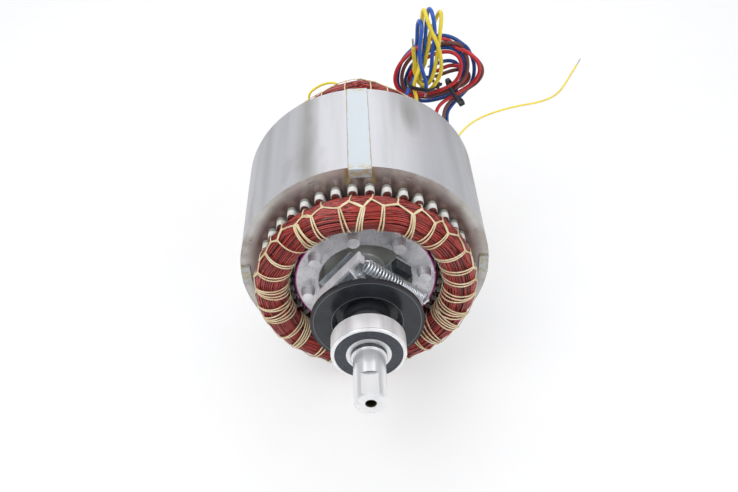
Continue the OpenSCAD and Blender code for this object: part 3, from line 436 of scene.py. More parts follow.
FINISHES = {
    "steel": lamination_steel(),
    "rotor_steel": rotor_steel(),
    "zinc": zinc_plate("zinc_plate", (0.66, 0.72, 0.76), 0.75),
    "spring": zinc_plate("spring_zinc", (0.84, 0.87, 0.91), 0.7),
    "weight": zinc_plate("weight_zinc", (0.9, 0.885, 0.92), 0.35),
    "cleat": cleat_zinc(),
    "paper": slot_paper(),
    "enamel": enamel("red_enamel", (0.07, 0.006, 0.005), (0.26, 0.018, 0.013), (0.49, 0.05, 0.034)),
    # A darker copy of the red enamel: painted shade for the wires deep in the bundle and in the slots
    "painted_shade_enamel": enamel("painted_shade_red_enamel", (0.035, 0.005, 0.005), (0.09, 0.012, 0.01),
                          (0.17, 0.022, 0.018)),
    "cord": lacing_cord(),
    "thin_yellow": insulation("thin_yellow_insulation", (0.97, 0.78, 0.05), 0.12, 0.5),
    "nylon": grained("black_nylon", 900, 2.0, (0.012, 0.013, 0.016), (0.03, 0.033, 0.04), 0.15, 0.1 * MM,
                     roughness=0.45),
    "tinned": grained("tinned_strands", 900, 2.0, (0.5, 0.47, 0.43), (0.8, 0.78, 0.74), 0.4, 0.2 * MM,
                      metallic=1.0, roughness=0.3),
    "aluminium": cast_aluminium(),
    "pin": ground_steel(),
    "shaft": drive_steel(),
    "ring": bearing_steel(),
    "black": black_phenolic(),
    "seal": grained("seal_rubber", 500, 3.0, (0.028, 0.032, 0.04), (0.055, 0.062, 0.075), 0.15, 0.1 * MM,
                    roughness=0.5),
}
LEAD_TINTS = {
    "yellow": (0.88, 0.69, 0.045),
    "blue": (0.018, 0.105, 0.5),
    "dark_blue": (0.015, 0.08, 0.35),
    "red": (0.56, 0.02, 0.028),
    "brown": (0.16, 0.052, 0.045),
}
for name, tint in LEAD_TINTS.items():
    FINISHES[name] = insulation(name + "_insulation", tint)

NODE_FINISHES = {
    "stator_core": "steel",
    "core_cleats": "cleat",
    "slot_liners": "paper",
    "slot_wedges": "paper",
    # The coils in the slots take the darker enamel, painted shade
    "slot_coils": "painted_shade_enamel",
    "rotor_core": "rotor_steel",
    "rotor_cage": "aluminium",
    "shaft": "shaft",
    "governor_base": "zinc",
    "governor_side_blocks": "black",
    "governor_pivot_pins": "pin",
    "left_governor_weight": "weight",
    "right_governor_weight": "weight",
    "governor_spool": "black",
}
BEARING_FINISHES = {"inner_ring": "ring", "outer_ring": "ring", "balls": "ring", "seals": "seal",
                    "retainer": "zinc"}
for bearing in ("front_bearing_", "rear_bearing_"):
    NODE_FINISHES |= {bearing + piece: finish for piece, finish in BEARING_FINISHES.items()}
for name, finish in NODE_FINISHES.items():
    nodes[name].data.materials.clear()
    nodes[name].data.materials.append(FINISHES[finish])


# Camera, at the photograph's angle
CAMERA_AT = Vector((2.2, -516.9, 423.0)) * MM
CAMERA_AZIMUTH = math.radians(0.19)
CAMERA_ELEVATION = math.radians(40.79)
CAMERA_ROLL = math.radians(-2.63)
LENS = 40.5
SENSOR_WIDTH = 36


def add_camera():
    level = math.cos(CAMERA_ELEVATION)
    forward = Vector((math.sin(CAMERA_AZIMUTH) * level, math.cos(CAMERA_AZIMUTH) * level,
                      -math.sin(CAMERA_ELEVATION)))
    right = forward.cross(Vector((0, 0, 1))).normalized()
    up = right.cross(forward)
    turn = Matrix.Rotation(CAMERA_ROLL, 3, -forward)
    right, up = turn @ right, turn @ up
    data = bpy.data.cameras.new("camera")
    data.lens = LENS
    data.sensor_width = SENSOR_WIDTH
    data.clip_start = 10 * MM
    camera = bpy.data.objects.new("camera", data)
    axes = Matrix((right, up, -forward)).transposed()
    camera.matrix_world = Matrix.Translation(CAMERA_AT) @ axes.to_4x4()
    bpy.context.scene.collection.objects.link(camera)
    bpy.context.scene.camera = camera


add_camera()


# Tubes along paths, all of one piece in one mesh
def smooth_path(points, steps):
    """A Catmull-Rom curve through the points."""
    p = np.asarray(points, float)
    p = np.vstack([2 * p[0] - p[1], p, 2 * p[-1] - p[-2]])
    t = np.linspace(0, 1, steps, endpoint=False)[:, None]
    pieces = []
    for a, b, c, d in zip(p[:-3], p[1:-2], p[2:-1], p[3:]):
        bend = 2 * a - 5 * b + 4 * c - d
        twist = 3 * b - a - 3 * c + d
        pieces.append(0.5 * (2 * b + (c - a) * t + bend * t**2 + twist * t**3))
    pieces.append(p[-2][None])
    return np.vstack(pieces)


def even_route(points, spacing):
    """A smooth line through points in millimetres, as points in metres a fixed distance apart."""
    p = smooth_path(np.array(points) * MM, 8)
    steps = np.linalg.norm(np.diff(p, axis=0), axis=1)
    run = np.concatenate([[0], np.cumsum(steps)])
    count = max(2, int(round(run[-1] / spacing)) + 1)
    at = np.linspace(0, run[-1], count)
    return np.stack([np.interp(at, run, p[:, i]) for i in range(3)], axis=1)


def unit(vector):
    return vector / np.linalg.norm(vector)


def tube_rings(path, radius, sides, flat=1.0, faces_out=None):
    """The rings of a tube, or of a ribbon that is flat times wider and faces along faces_out."""
    ways = np.gradient(path, axis=0)
    ways /= np.linalg.norm(ways, axis=1)[:, None]
    angles = np.linspace(0, 2 * math.pi, sides, endpoint=False)
    if faces_out is None:
        normals = []
        normal = np.cross(ways[0], [0.3, 0.5, 0.81])
        for way in ways:
            normal = unit(normal - way * (normal @ way))
            normals.append(normal)
        normals = np.array(normals)
    else:
        normals = faces_out - ways * np.sum(faces_out * ways, axis=1)[:, None]
        normals /= np.linalg.norm(normals, axis=1)[:, None]
    across = np.cross(ways, normals)
    return (path[:, None] + radius * np.sin(angles)[None, :, None] * normals[:, None]
            + radius * flat * np.cos(angles)[None, :, None] * across[:, None])


def tube_object(name, rings_list, finish, closed=False):
    """One mesh object from the rings of several tubes, each with flat ends unless it is closed."""
    vertices, faces, at = [], [], 0
    for rings in rings_list:
        count, sides = rings.shape[:2]
        vertices.append(rings.reshape(-1, 3))
        i, k = np.meshgrid(np.arange(count - (0 if closed else 1)), np.arange(sides), indexing="ij")
        a, b = i * sides + k, i * sides + (k + 1) % sides
        c, d = (i + 1) % count * sides + (k + 1) % sides, (i + 1) % count * sides + k
        faces += (np.stack([a, b, c, d], axis=-1).reshape(-1, 4) + at).tolist()
        if not closed:
            faces.append(list(range(at + sides - 1, at - 1, -1)))
            faces.append(list(range(at + (count - 1) * sides, at + count * sides)))
        at += count * sides
    mesh = bpy.data.meshes.new(name)
    mesh.from_pydata(np.vstack(vertices).tolist(), [], faces)
    mesh.shade_smooth()
    mesh.materials.append(FINISHES[finish])
    obj = bpy.data.objects.new(name, mesh)
    bpy.context.scene.collection.objects.link(obj)
    return obj


# Cords: each lead from its exit on the rear winding to its stripped tip
def thin_lead(name, points):
    """A thin yellow lead on a smooth route, given in millimetres, as a tube whose own path is known."""
    path = even_route(points, 2.2 * THIN_LEAD_R)
    return tube_object(name, [tube_rings(path, THIN_LEAD_R, 12)], "thin_yellow"), path


def bare_tip(name, path, length, radius):
    """The stripped strands at a lead's end, twisted together."""
    strands = 5
    twist = 1.2
    along = unit(path[-1] - path[-2])
    side = unit(np.cross(along, [0.2, 0.4, 0.9]))
    other = np.cross(along, side)
    t = np.linspace(-0.2, 1, 14)
    rings = []
    for k in range(strands):
        a = 2 * math.pi * (k / strands + twist * t)
        line = (path[-1] + np.outer(t * length, along)
                + 0.55 * radius * (np.cos(a)[:, None] * side + np.sin(a)[:, None] * other))
        rings.append(tube_rings(line, 0.45 * radius, 6))
    return tube_object(name, rings, "tinned")


def declare_lead(obj, path, radius, lay, tip, *replaced):
    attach(obj, "stator")
    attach(tip, "stator")
    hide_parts(*replaced)


# Routes of the hanks' leads, in millimetres. Each goes from its exit on the rear winding through its
# turns: yellow and blue stand upright in the small hank, the others hang round in the large one.
YELLOW_ROUTE = [
    (47.1, 78.1, 55.1), (49.3, 84.6, 57.7), (50, 88.5, 62), (46.8, 90.5, 71.1), (49.2, 94, 76.8),
    (51.2, 98, 84.9), (53.2, 101, 95.1), (54.2, 103, 106.6), (54.5, 103.5, 117.8), (55, 103, 127.6),
    (55.4, 101.5, 133.5), (55.7, 97, 137.6), (56.4, 92, 137.8), (57.4, 89, 131.8), (61.4, 88, 121),
    (65.6, 88, 112), (68.6, 88.5, 101.7), (69.9, 89, 91.4), (69.7, 90, 82.3), (67, 91.5, 74.7),
    (63.5, 92.5, 69), (60.4, 94, 63.4), (56.6, 97.5, 61.6), (53.9, 101, 64.7), (53.6, 103, 70.7),
    (56, 104, 81.4), (58.7, 105, 93.6), (60.5, 105.5, 105.8), (63.4, 105.5, 116.4), (66.3, 105, 122.9),
    (67.9, 104, 128.9), (69.1, 100, 133.5), (69.6, 95, 135.2), (69.5, 91.5, 131.6), (68.6, 91, 120.8),
    (67.6, 91.5, 108.5), (66.6, 92, 97.5), (65.3, 92.5, 88.9), (63.6, 93, 80.1), (60.7, 94.5, 71.6),
    (57.1, 96.5, 66.6), (52.9, 98, 66.4), (50.1, 98, 72.8), (49.2, 97, 81.3), (48.6, 96, 89.6),
    (47.7, 95, 98.6), (47.2, 94, 105.4),
]
BLUE_ROUTE = [
    (37.8, 78.2, 61.6), (39.5, 85, 64.4), (46, 95, 71.2), (49.8, 99, 75.8), (53.8, 102.5, 82.3),
    (56.3, 104.5, 91.4), (57.9, 106, 103.2), (58.5, 106.5, 114.5), (58.9, 106, 124.4), (59.5, 104.5, 131.1),
    (60.3, 100, 136), (61.3, 94.5, 137.7), (62.3, 91, 134.5), (63.6, 90.5, 126.8), (64.4, 91, 117),
    (63.5, 91.5, 108.7), (62.6, 92.5, 99.1), (62.4, 94, 88.2), (61.9, 95.5, 78.8), (60, 97.5, 69.9),
    (56.4, 100.5, 65.3), (52.9, 104, 66.6), (51.5, 105.5, 72.9), (51.4, 105.5, 81.7), (51.2, 106, 91.8),
    (51.4, 106, 101.9), (51.3, 105.5, 110.5), (51.5, 104, 118.9), (52.2, 99.5, 126.3), (53.4, 94.5, 129.1),
    (54.3, 90.5, 126.9), (53.7, 88, 121.4), (52.1, 87, 113.2), (51.8, 86.5, 101.2), (53.2, 86.5, 91.1),
    (55.7, 87, 83), (57.8, 88, 74.6), (57.4, 90, 65.9),
]
RED_ROUTE = [
    (62.1, 77.9, 38.1), (65.4, 84.2, 40.1), (66, 90, 42.4), (68.1, 97, 46.2), (73.1, 99.5, 50),
    (78.9, 102, 51.9), (85, 104, 54.9), (92.6, 105, 58.5), (99.4, 104, 64.1), (103, 102, 72.1),
    (103.8, 101, 80.1), (100.7, 102, 87), (94.1, 104, 93.1), (86.4, 106, 98.4), (78.9, 108, 102),
    (68, 108, 105), (55.6, 106, 103.3), (46.3, 104, 95.6), (36.8, 102, 86.9), (32.1, 100, 76.1),
    (33.3, 99, 66.9), (39.5, 99, 59.4), (48.2, 99, 57.1), (59.3, 99, 59.2), (71.1, 99, 62), (79, 99, 65.4),
    (84.4, 99.5, 70.1), (87.4, 100, 77.6), (88, 101, 85.6), (85.1, 102, 91.9), (78.5, 103, 95.3),
    (71.7, 104, 94.7), (63.4, 105, 91.7), (54.1, 105, 86.1), (47.1, 105, 78.7), (44.2, 104, 69.7),
    (45.7, 103, 61.3), (52.4, 102, 56.9), (63.6, 102, 58.2), (73.1, 102, 60.4), (80.7, 103, 62.2),
    (88.7, 104, 64.2), (94.6, 106, 69), (94.3, 108.5, 74.7), (88.5, 110.5, 78.6), (80.7, 111.5, 78.5),
    (73.7, 112, 75.6), (68.2, 112, 72.4),
]
BROWN_ROUTE = [
    (67.5, 77.8, 28), (71.3, 84, 29.5), (73, 91, 34), (74.4, 99, 42.8), (78.9, 101.5, 47.6),
    (83.5, 104, 51.3), (88.9, 106, 54.4), (96.7, 106, 59.5), (103.2, 104, 66.1), (106.8, 103, 74.4),
    (104.8, 104, 81.4), (98.2, 107, 87.9), (90.9, 109, 93.2), (80.9, 111, 97), (68.5, 111, 97.6),
    (57.5, 109, 95.8), (47.9, 106, 91.1), (40.8, 104, 83.9), (37.9, 102.5, 73.6), (39.3, 102, 64),
    (46.1, 102, 57.3), (55.6, 102, 54.5), (68.4, 102.5, 56.2), (78, 103, 59.1), (85.8, 103, 63.6),
    (91.1, 103, 70.4), (93.7, 104, 79.4), (92.2, 105, 91), (86.4, 106, 99.4), (78.7, 107, 102.1),
    (72, 108, 101.1), (62, 108, 97.8), (53.5, 108, 89.7), (48, 107, 80.2), (46.8, 106, 69.3),
    (48.7, 105, 59.9), (57.5, 105, 54.9), (68.7, 105, 56.6), (79.1, 106, 58.2), (87.8, 106, 60.7),
    (96.2, 107.5, 64.2), (98.6, 109.5, 69.5), (94.3, 111.5, 73.3), (85.8, 113, 73), (75.5, 112.5, 70.4),
    (67.6, 112.5, 67.1),
]
DARK_BLUE_ROUTE = [
    (71.2, 77.7, 17.1), (75.5, 83.7, 18.1), (77.8, 90, 22.5), (76.8, 96, 30), (76.7, 101, 39.6),
    (80.5, 103.5, 42.5), (85.9, 106, 48.2), (91.6, 108, 52.2), (97.8, 109, 60.4), (100.1, 109, 71),
    (99.1, 109, 82.5), (93.3, 110, 93), (83, 111, 102.6), (73, 112, 105.6), (61.5, 112, 104.2),
    (49, 110, 96.6), (38.7, 108, 86.2), (35, 106, 74.4), (35.2, 105, 64.3), (43.1, 105, 53.9),
    (55.9, 105, 48.1), (68, 105, 49.3), (77.6, 105.5, 51.7), (86.3, 106, 57.3), (90.8, 106, 67),
    (91.7, 106, 78.4), (90.4, 106.5, 87.3), (85.6, 107.5, 93.4), (79.1, 109, 96.4), (72.3, 110, 96.2),
    (62.3, 111, 92.8), (51.4, 110, 85.3), (43.8, 109, 74.9), (40.8, 108, 64.1), (44.1, 108, 56.2),
    (55.4, 108, 50.5), (69.1, 108.5, 50.4), (80.4, 109, 54.1), (88.3, 110, 60.3), (91.2, 111, 70.4),
    (87.9, 112, 78), (81.6, 113, 81.7), (74.5, 113, 81.6), (67.4, 113, 79),
]


def settle(paths, radius, held, fold):
    """Moves leads apart where they lie in each other and opens bends tighter than fold, near their routes.

    paths are lists of points a short step apart, and the first held points of each stay put.
    """
    rounds = 560
    rounds_between_searches = 8
    clear = 2.1 * radius
    search_reach = 1.4 * clear
    push_share = 0.3
    pull_at_first, pull_at_last = 0.03, 0.003
    slightly_smoothed, fully_smoothed = 0.04, 0.42
    counts = [len(path) for path in paths]
    ends = np.cumsum(counts)
    starts = ends - counts
    points = np.vstack(paths)
    home = points.copy()
    owner = np.repeat(np.arange(len(paths)), ends - starts)
    index = np.arange(len(points))
    step = np.linalg.norm(points[1] - points[0])
    free = index - starts[owner] >= held
    inner = free & (index < ends[owner] - 1)
    near_by = (owner[:, None] == owner) & (np.abs(index[:, None] - index) < math.ceil(6 * radius / step))
    for k in range(rounds):
        if k % rounds_between_searches == 0:
            gaps = np.linalg.norm(points[:, None] - points, axis=2)
            a, b = np.argwhere(np.triu(~near_by & (gaps < search_reach), 1)).T
        way = points[a] - points[b]
        gap = np.maximum(np.linalg.norm(way, axis=1), 1e-9)
        touching = gap < clear
        push = (push_share * np.clip(clear - gap, 0, None) / gap)[:, None] * way
        shift = np.zeros_like(points)
        count = np.ones(len(points))
        np.add.at(shift, a, push)
        np.add.at(shift, b, -push)
        np.add.at(count, a[touching], 0.5)
        np.add.at(count, b[touching], 0.5)
        pull = pull_at_first if k < 0.7 * rounds else pull_at_last
        points[free] += (shift / count[:, None] + pull * (home - points))[free]
        middle = points.copy()
        middle[1:-1] = (points[:-2] + points[2:]) / 2
        sag = np.linalg.norm(points - middle, axis=1)
        tight = np.clip(sag / (step * step / (2 * fold)) - 0.8, 0, 1)
        smoothed = slightly_smoothed + fully_smoothed * tight
        points[inner] += (smoothed[:, None] * (middle - points))[inner]
    return [points[i:j] for i, j in zip(starts, ends)]


# Colour, route and length of the stripped tip
HANK_LEADS = [
    ("yellow", YELLOW_ROUTE, 8 * MM),
    ("blue", BLUE_ROUTE, 5 * MM),
    ("red", RED_ROUTE, 7 * MM),
    ("brown", BROWN_ROUTE, 7 * MM),
    ("dark_blue", DARK_BLUE_ROUTE, 7 * MM),
]
HELD_POINTS = 5
TIGHTEST_FOLD = 9 * MM
POINT_SPACING = 1.7 * MM
hank_paths = settle([even_route(route, POINT_SPACING) for _, route, _ in HANK_LEADS], LEAD_R, HELD_POINTS,
                    TIGHTEST_FOLD)
for (colour, _, tip_length), path in zip(HANK_LEADS, hank_paths):
    name = colour + "_lead"
    obj = tube_object(name, [tube_rings(path, LEAD_R, 14)], colour)
    tip = bare_tip(name + "_tip", path, tip_length, 0.9 * MM)
    declare_lead(obj, path, LEAD_R, "coiled", tip, name + "_tail", name + "_hank")

# The free lead leaves the winding low on the right and lies on the floor
FREE_START = [
    (43.1, 78.2, -50.4), (41, 85, -47.9), (42, 91, -50.5), (45.5, 97, -60), (49.5, 103, -72), (54, 111, -84),
]
FREE_ON_FLOOR = [
    (61, 124), (72, 152), (82, 182), (92, 212), (102, 240), (112, 264), (126, 284), (144, 299), (165, 310),
    (188, 318), (208, 323), (225, 331), (238, 343), (249, 360), (262, 384), (275, 408),
]
FREE_LEAD_Z = THIN_LEAD_R / MM + FLOOR_Z / MM
free_route = FREE_START + [(x, y, FREE_LEAD_Z) for x, y in FREE_ON_FLOOR]
free_obj, free_path = thin_lead("free_yellow_wire", free_route)
free_tip = bare_tip("free_wire_tip", free_path, 16 * MM, 0.6 * MM)
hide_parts("free_lead_bare_end")
declare_lead(free_obj, free_path, THIN_LEAD_R, "loose", free_tip, "free_yellow_lead")

# The short jumper that bridges two coils over the rear winding
JUMPER_ROUTE = [
    (-37, 78.7, 60.4), (-39.5, 86.5, 60.5), (-40.4, 90.6, 64.5), (-39.2, 91.5, 68.7), (-35.9, 92, 72),
    (-28.6, 92, 76.2), (-20.7, 91.5, 78), (-16, 89.8, 77.3), (-14.6, 86, 75), (-16.6, 78.6, 69.3),
]
jumper, jumper_path = thin_lead("jumper_wire", JUMPER_ROUTE)
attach(jumper, "stator")
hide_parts("winding_jumper")


# Ties: a strap round the bundle, and a head with the strap's cut end
STRAP_HALF_WIDTH = 1.8 * MM


def squared(wave, power):
    """A sine or cosine with fuller shoulders, the more the lower the power."""
    return np.sign(wave) * np.abs(wave) ** power


def strap_head(at, across, along, deep):
    """The rings of the head's block and of the cut end that stands out of it."""
    half_height, half_width, half_depth = 2.4, 2.7, 2.3
    t = np.linspace(-half_height, half_height, 9)[:, None, None]
    a = np.linspace(0, 2 * math.pi, 17)[:-1, None]
    swell = 1.0 - 0.12 * np.abs(t / half_height) ** 3
    u = squared(np.cos(a), 0.35) * half_width * swell
    v = squared(np.sin(a), 0.35) * half_depth * swell
    block = at + (t * across + u * along + v * deep) * MM
    end = np.array([at + (1.2 * deep + k * 0.9 * across + 0.04 * k * k * deep) * MM for k in range(1, 6)])
    return block, tube_rings(end, 0.5 * MM, 12, flat=3.4, faces_out=np.tile(deep, (5, 1)))


def strap_tie(name, middle, along, across, reach):
    """A strap in the plane square to along, snug round the leads that pass within reach of its middle."""
    along = unit(np.array(along))
    across = unit(across - along * (across @ along))
    deep = np.cross(along, across)
    offsets = np.vstack(hank_paths) - np.array(middle) * MM
    held = (np.abs(offsets @ along) < STRAP_HALF_WIDTH) & (np.linalg.norm(offsets, axis=1) < reach * MM)
    sides = np.stack([offsets[held] @ across, offsets[held] @ deep])
    half = (sides.max(axis=1) - sides.min(axis=1)) / 2 + LEAD_R + 0.7 * MM
    shift = (sides.max(axis=1) + sides.min(axis=1)) / 2
    middle = np.array(middle) * MM + shift[0] * across + shift[1] * deep
    angles = np.linspace(0, 2 * math.pi, 49)
    c, s = np.cos(angles), np.sin(angles)
    x = squared(c, 0.66) * half[0]
    y = squared(s, 0.66) * half[1]
    path = middle + x[:, None] * across + y[:, None] * deep
    out = (c / half[0])[:, None] * across + (s / half[1])[:, None] * deep
    band = tube_rings(path, 0.6 * MM, 12, flat=3.0, faces_out=out)
    block, cut_end = strap_head(middle + (half[0] + STRAP_HALF_WIDTH) * across, across, along, deep)
    obj = tube_object(name + "_tie", [band, block, cut_end], "nylon")
    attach(obj, "stator")
    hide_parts(name + "_hank_tie")


strap_tie("large", (82.5, 104.0, 57.3), (0.86, 0, 0.51), (0.51, 0, -0.86), 15)
strap_tie("small", (54.7, 97.0, 70.2), (0.2, 0, 0.98), (0.93, 0, -0.3), 16)


# Windings
def make_waves(least, most, across, count, seed):
    """Smooth noise over an end winding: periodic round the shaft, gentle across the bundle."""
    made = np.random.default_rng(seed)
    turns = made.integers(least, most + 1, count)
    tilts = made.uniform(-across, across, count)
    starts = made.uniform(0, 2 * math.pi, count)
    heights = made.uniform(0.5, 1.0, count)
    heights /= np.sqrt((heights**2).sum() / 2)

    def waves(phi, theta):
        return sum(a * np.sin(m * phi + n * theta + p) for a, m, n, p in zip(heights, turns, tilts, starts))

    return waves


class EndWinding:
    """The torus of an end winding, given in millimetres. Its top may be heaped up.

    Phi goes round the shaft. Theta is 0 outwards and 90 degrees towards the motor's own end.
    """

    def __init__(self, name, end, ring_r, ring_z, lay_r, heap):
        self.name = name
        self.end = end
        self.heap = heap * MM
        self.ring_r = ring_r * MM
        self.ring_z = ring_z * MM
        self.lay_r = lay_r * MM
        self.cord_r = (lay_r + 1.75) * MM

    def heaped(self, phi):
        """How far the ring stands out at its top, where the connections are tied in."""
        half_width = 0.3
        from_top = np.mod(phi + math.pi / 2, 2 * math.pi) - math.pi
        return self.heap * np.exp(-(from_top / half_width) ** 2)

    def ring_at(self, lay, theta, phi):
        """Radius and distance along the shaft."""
        heaped = self.heaped(phi)
        return (self.ring_r + heaped + lay * np.cos(theta),
                self.ring_z + 0.4 * heaped + lay * np.sin(theta))

    def at(self, lay, theta, phi):
        r, z = self.ring_at(lay, theta, phi)
        return np.stack([r * np.cos(phi), -self.end * z, r * np.sin(phi)], axis=-1)

    def outward(self, theta, phi):
        level = np.cos(theta)
        return np.stack([level * np.cos(phi), -self.end * np.sin(theta), level * np.sin(phi)], axis=-1)


def skin_wires(side, seed):
    """The outer wires of a bundle: arcs that surface, run side by side and dive under their neighbours."""
    drift = make_waves(2, 9, 1.2, 7, seed)
    swell = make_waves(6, 22, 2.5, 8, seed + 1)
    made = np.random.default_rng(seed + 2)
    first_row, last_row = -38, 226
    row_step = math.degrees(1.13 * 2 * WIRE_R / side.lay_r)
    seam, overlap, point_step = np.radians([2, 6, 2.2])
    dive_depth = 1.7 * MM
    dive_share = 0.12
    rings = []
    for row in np.radians(np.arange(first_row, last_row, row_step)):
        at = made.uniform(0, 2 * math.pi)
        stop = at + 2 * math.pi - seam
        while at < stop - 0.05:
            length = math.radians(made.uniform(45, 110))
            end_at = min(at + length, stop)
            phi = np.arange(at, end_at + overlap, point_step)
            if len(phi) < 6:
                break
            u = np.linspace(0, 1, len(phi))
            theta = row + math.radians(5.0) * drift(phi, row) + math.radians(made.uniform(-1.6, 1.6))
            theta = theta + math.radians(made.uniform(-5, 5)) * (u - 0.5)
            lay = side.lay_r + (0.26 * swell(phi, row) + made.uniform(-0.42, 0.3)) * MM
            surfaced = np.clip(np.minimum(u, 1 - u) / dive_share, 0, 1)
            lay = lay - dive_depth * (1 - surfaced) ** 2
            rings.append(tube_rings(side.at(lay, theta, phi), WIRE_R, 6))
            at = end_at
    return rings


def side_of_pole(phi):
    """Which way a slot's wires turn: towards the middle of their pole, seen from the drive end."""
    pole_middle, pole_pitch = 97, 90
    turn = (math.degrees(phi) - pole_middle + pole_pitch / 2) % pole_pitch - pole_pitch / 2
    return -1.0 if turn > 0 else 1.0


def slot_wire(side, made, slot_phi, way, lean, row, k, wide):
    """One wire of a slot: out of its liner at place k of a row, and over into the bundle."""
    first_row, row_pitch, wire_pitch = 2.0, 1.2, 1.25
    inside_z, turn_z = 57 * MM, 61.2 * MM
    leaving_theta = math.radians(-62)
    r0 = SLOT_OUT_R - (first_row + row_pitch * row) * MM
    across = (k - (wide - 1) / 2) * wire_pitch * MM + made.uniform(-0.12, 0.12) * MM
    lift = turn_z + 0.5 * row * MM + made.uniform(-0.3, 0.3) * MM
    aim_theta = math.radians(-12 + 12 * row + made.uniform(-4, 4))
    reach = math.radians(9 + 1.2 * row + 1.6 * k * way + made.uniform(-1, 1)) * lean
    reach = max(reach, math.radians(6))
    a0 = slot_phi + across / r0
    stations = [(a0, r0, inside_z), (a0, r0, lift - 1.5 * MM)]
    for share in (0.0, 0.35, 1.0, 1.9, 2.8):
        turned = min(1.0, 0.28 + 0.62 * share)
        theta = aim_theta * turned + leaving_theta * (1 - turned)
        rise = 0.95 - 0.15 * row if share < 1.5 else 0.2 if share < 2.5 else -2.6
        a = a0 + way * reach * share
        r, z = side.ring_at(side.lay_r + rise * MM, theta, a)
        if share < 0.9:
            r = (1 - share) * r0 + share * r
            z = max(z, lift)
        stations.append((a, r, z))
    points = np.array([(r * math.cos(a), -side.end * z, r * math.sin(a)) for a, r, z in stations])
    return smooth_path(points, 4)


def slot_wires(side, seed):
    """The wires that come out of each slot's liner and lean over into the bundle like a rope."""
    made = np.random.default_rng(seed)
    pole_shift = 0.0 if side.end > 0 else math.radians(45)
    rings = []
    for i in range(SLOTS):
        slot_phi = (i + 0.5) * SLOT_PITCH - math.pi / 2
        way = side_of_pole(slot_phi + pole_shift)
        lean = made.uniform(0.85, 1.25)
        for row, wide in enumerate((3, 4, 4, 4, 4)):
            for k in range(wide):
                rings.append(tube_rings(slot_wire(side, made, slot_phi, way, lean, row, k, wide), WIRE_R, 6))
    return rings


def core_bundle(side):
    """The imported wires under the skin, ribbed along their own direction."""
    phi = np.linspace(0, 2 * math.pi, 181)[:-1]
    theta = np.linspace(0, 2 * math.pi, 72, endpoint=False)
    phi, theta = np.meshgrid(phi, theta, indexing="ij")
    ribs = np.abs(np.sin(18 * theta + 2 * np.sin(3 * phi)))
    depth, rib_height = 1.25 * MM, 0.35 * MM
    return side.at(side.lay_r - depth + rib_height * ribs, theta, phi)


def winding(side, seed):
    name = side.name + "_winding"
    wires = tube_object(name + "_wires", skin_wires(side, seed), "enamel")
    legs = tube_object(name + "_legs", slot_wires(side, seed + 5), "enamel")
    # The bundle under the skin wires takes the darker enamel, painted shade between the wires
    bundle = tube_object(name + "_bundle", [core_bundle(side)], "painted_shade_enamel", closed=True)
    for obj in (wires, legs, bundle):
        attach(obj, "stator")
    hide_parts(side.name + "_end_winding", side.name + "_end_turns")


# The rear winding is heaped up at its top, where it shows over the core's edge
front = EndWinding("front", 1, 69.3, 72.0, 10.8, 0.0)
rear = EndWinding("rear", -1, 69.6, 72.4, 11.0, 5.4)
winding(front, 11)
winding(rear, 71)


# Lacing: knots joined by a zigzag, with cords that go over the bundle from each
KNOT_PAIRS = 30
PAIR_STEP = 2 * math.pi / KNOT_PAIRS
KNOT_SIZE = 0.75 * MM


def cord_rings(side, thetas, phis, rise=0.0):
    theta, phi = smooth_path(np.stack([thetas, phis, np.zeros(len(thetas))], axis=1), 6)[:, :2].T
    thick, wide = 0.34 * MM, 0.58 * MM
    return tube_rings(side.at(side.cord_r + rise, theta, phi), thick, 8, flat=wide / thick,
                      faces_out=side.outward(theta, phi))


def knot(side, theta, phi):
    """A small overhand knot: a short fat turn across the cord."""
    t = np.linspace(0, 2 * math.pi, 15)[:-1]
    path = side.at(side.cord_r + 0.3 * MM, theta + 0.9 * KNOT_SIZE / side.cord_r * np.cos(t),
                   phi + 0.8 * KNOT_SIZE / side.ring_r * np.sin(t))
    return tube_rings(np.vstack([path, path[:2]]), 0.52 * MM, 8)


def zigzag(side, made, a, b):
    """The cord between two knots, which is double in some places."""
    rings = []
    for shift in (-0.55, 0.55) if made.random() < 0.45 else (0.0,):
        shift_angle = shift * (MM / side.cord_r)
        sag = math.radians(made.uniform(-3, 3)) + shift_angle
        thetas = [a[0] + 0.5 * shift_angle, (a[0] + b[0]) / 2 + sag, b[0]]
        rings.append(cord_rings(side, thetas, [a[1], (a[1] + b[1]) / 2, b[1]], rise=0.15 * MM))
    return rings


def tie_down(side, made, upper):
    """The cord from an upper knot down to the core, which is double in some places."""
    phi = upper[1]
    down = phi + made.uniform(-0.1, 0.1) * PAIR_STEP
    thetas = [upper[0], math.radians(-5), math.radians(-28), math.radians(-48)]
    shifts = (-0.014, 0.0) if made.random() < 0.35 else (0.0,)
    return [cord_rings(side, thetas, [phi, (phi + down) / 2, down, down + shift]) for shift in shifts]


def over_bundle(side, made, lower):
    """One to four strands from a lower knot over the bundle into the bore, spread like a fan."""
    strands = made.choice([1, 2, 2, 2, 3, 4])
    lean = made.uniform(-0.5, 0.5) * PAIR_STEP
    gap = made.uniform(1.5, 4.6) * MM / side.ring_r
    thetas = [lower[0], *np.radians([80, 125, 170, 212])]
    rings = []
    for j in range(strands):
        place = j - (strands - 1) / 2
        begin = lower[1] + place * MM / side.ring_r
        fan = place * gap * made.uniform(0.8, 1.3)
        bow = made.uniform(-0.04, 0.04) * PAIR_STEP
        phis = [begin, begin + 0.35 * (lean + fan) + bow, begin + 0.7 * (lean + fan), begin + lean + fan,
                begin + 1.2 * lean + fan]
        rings.append(cord_rings(side, thetas, phis, rise=made.uniform(0, 0.12) * MM))
    return rings


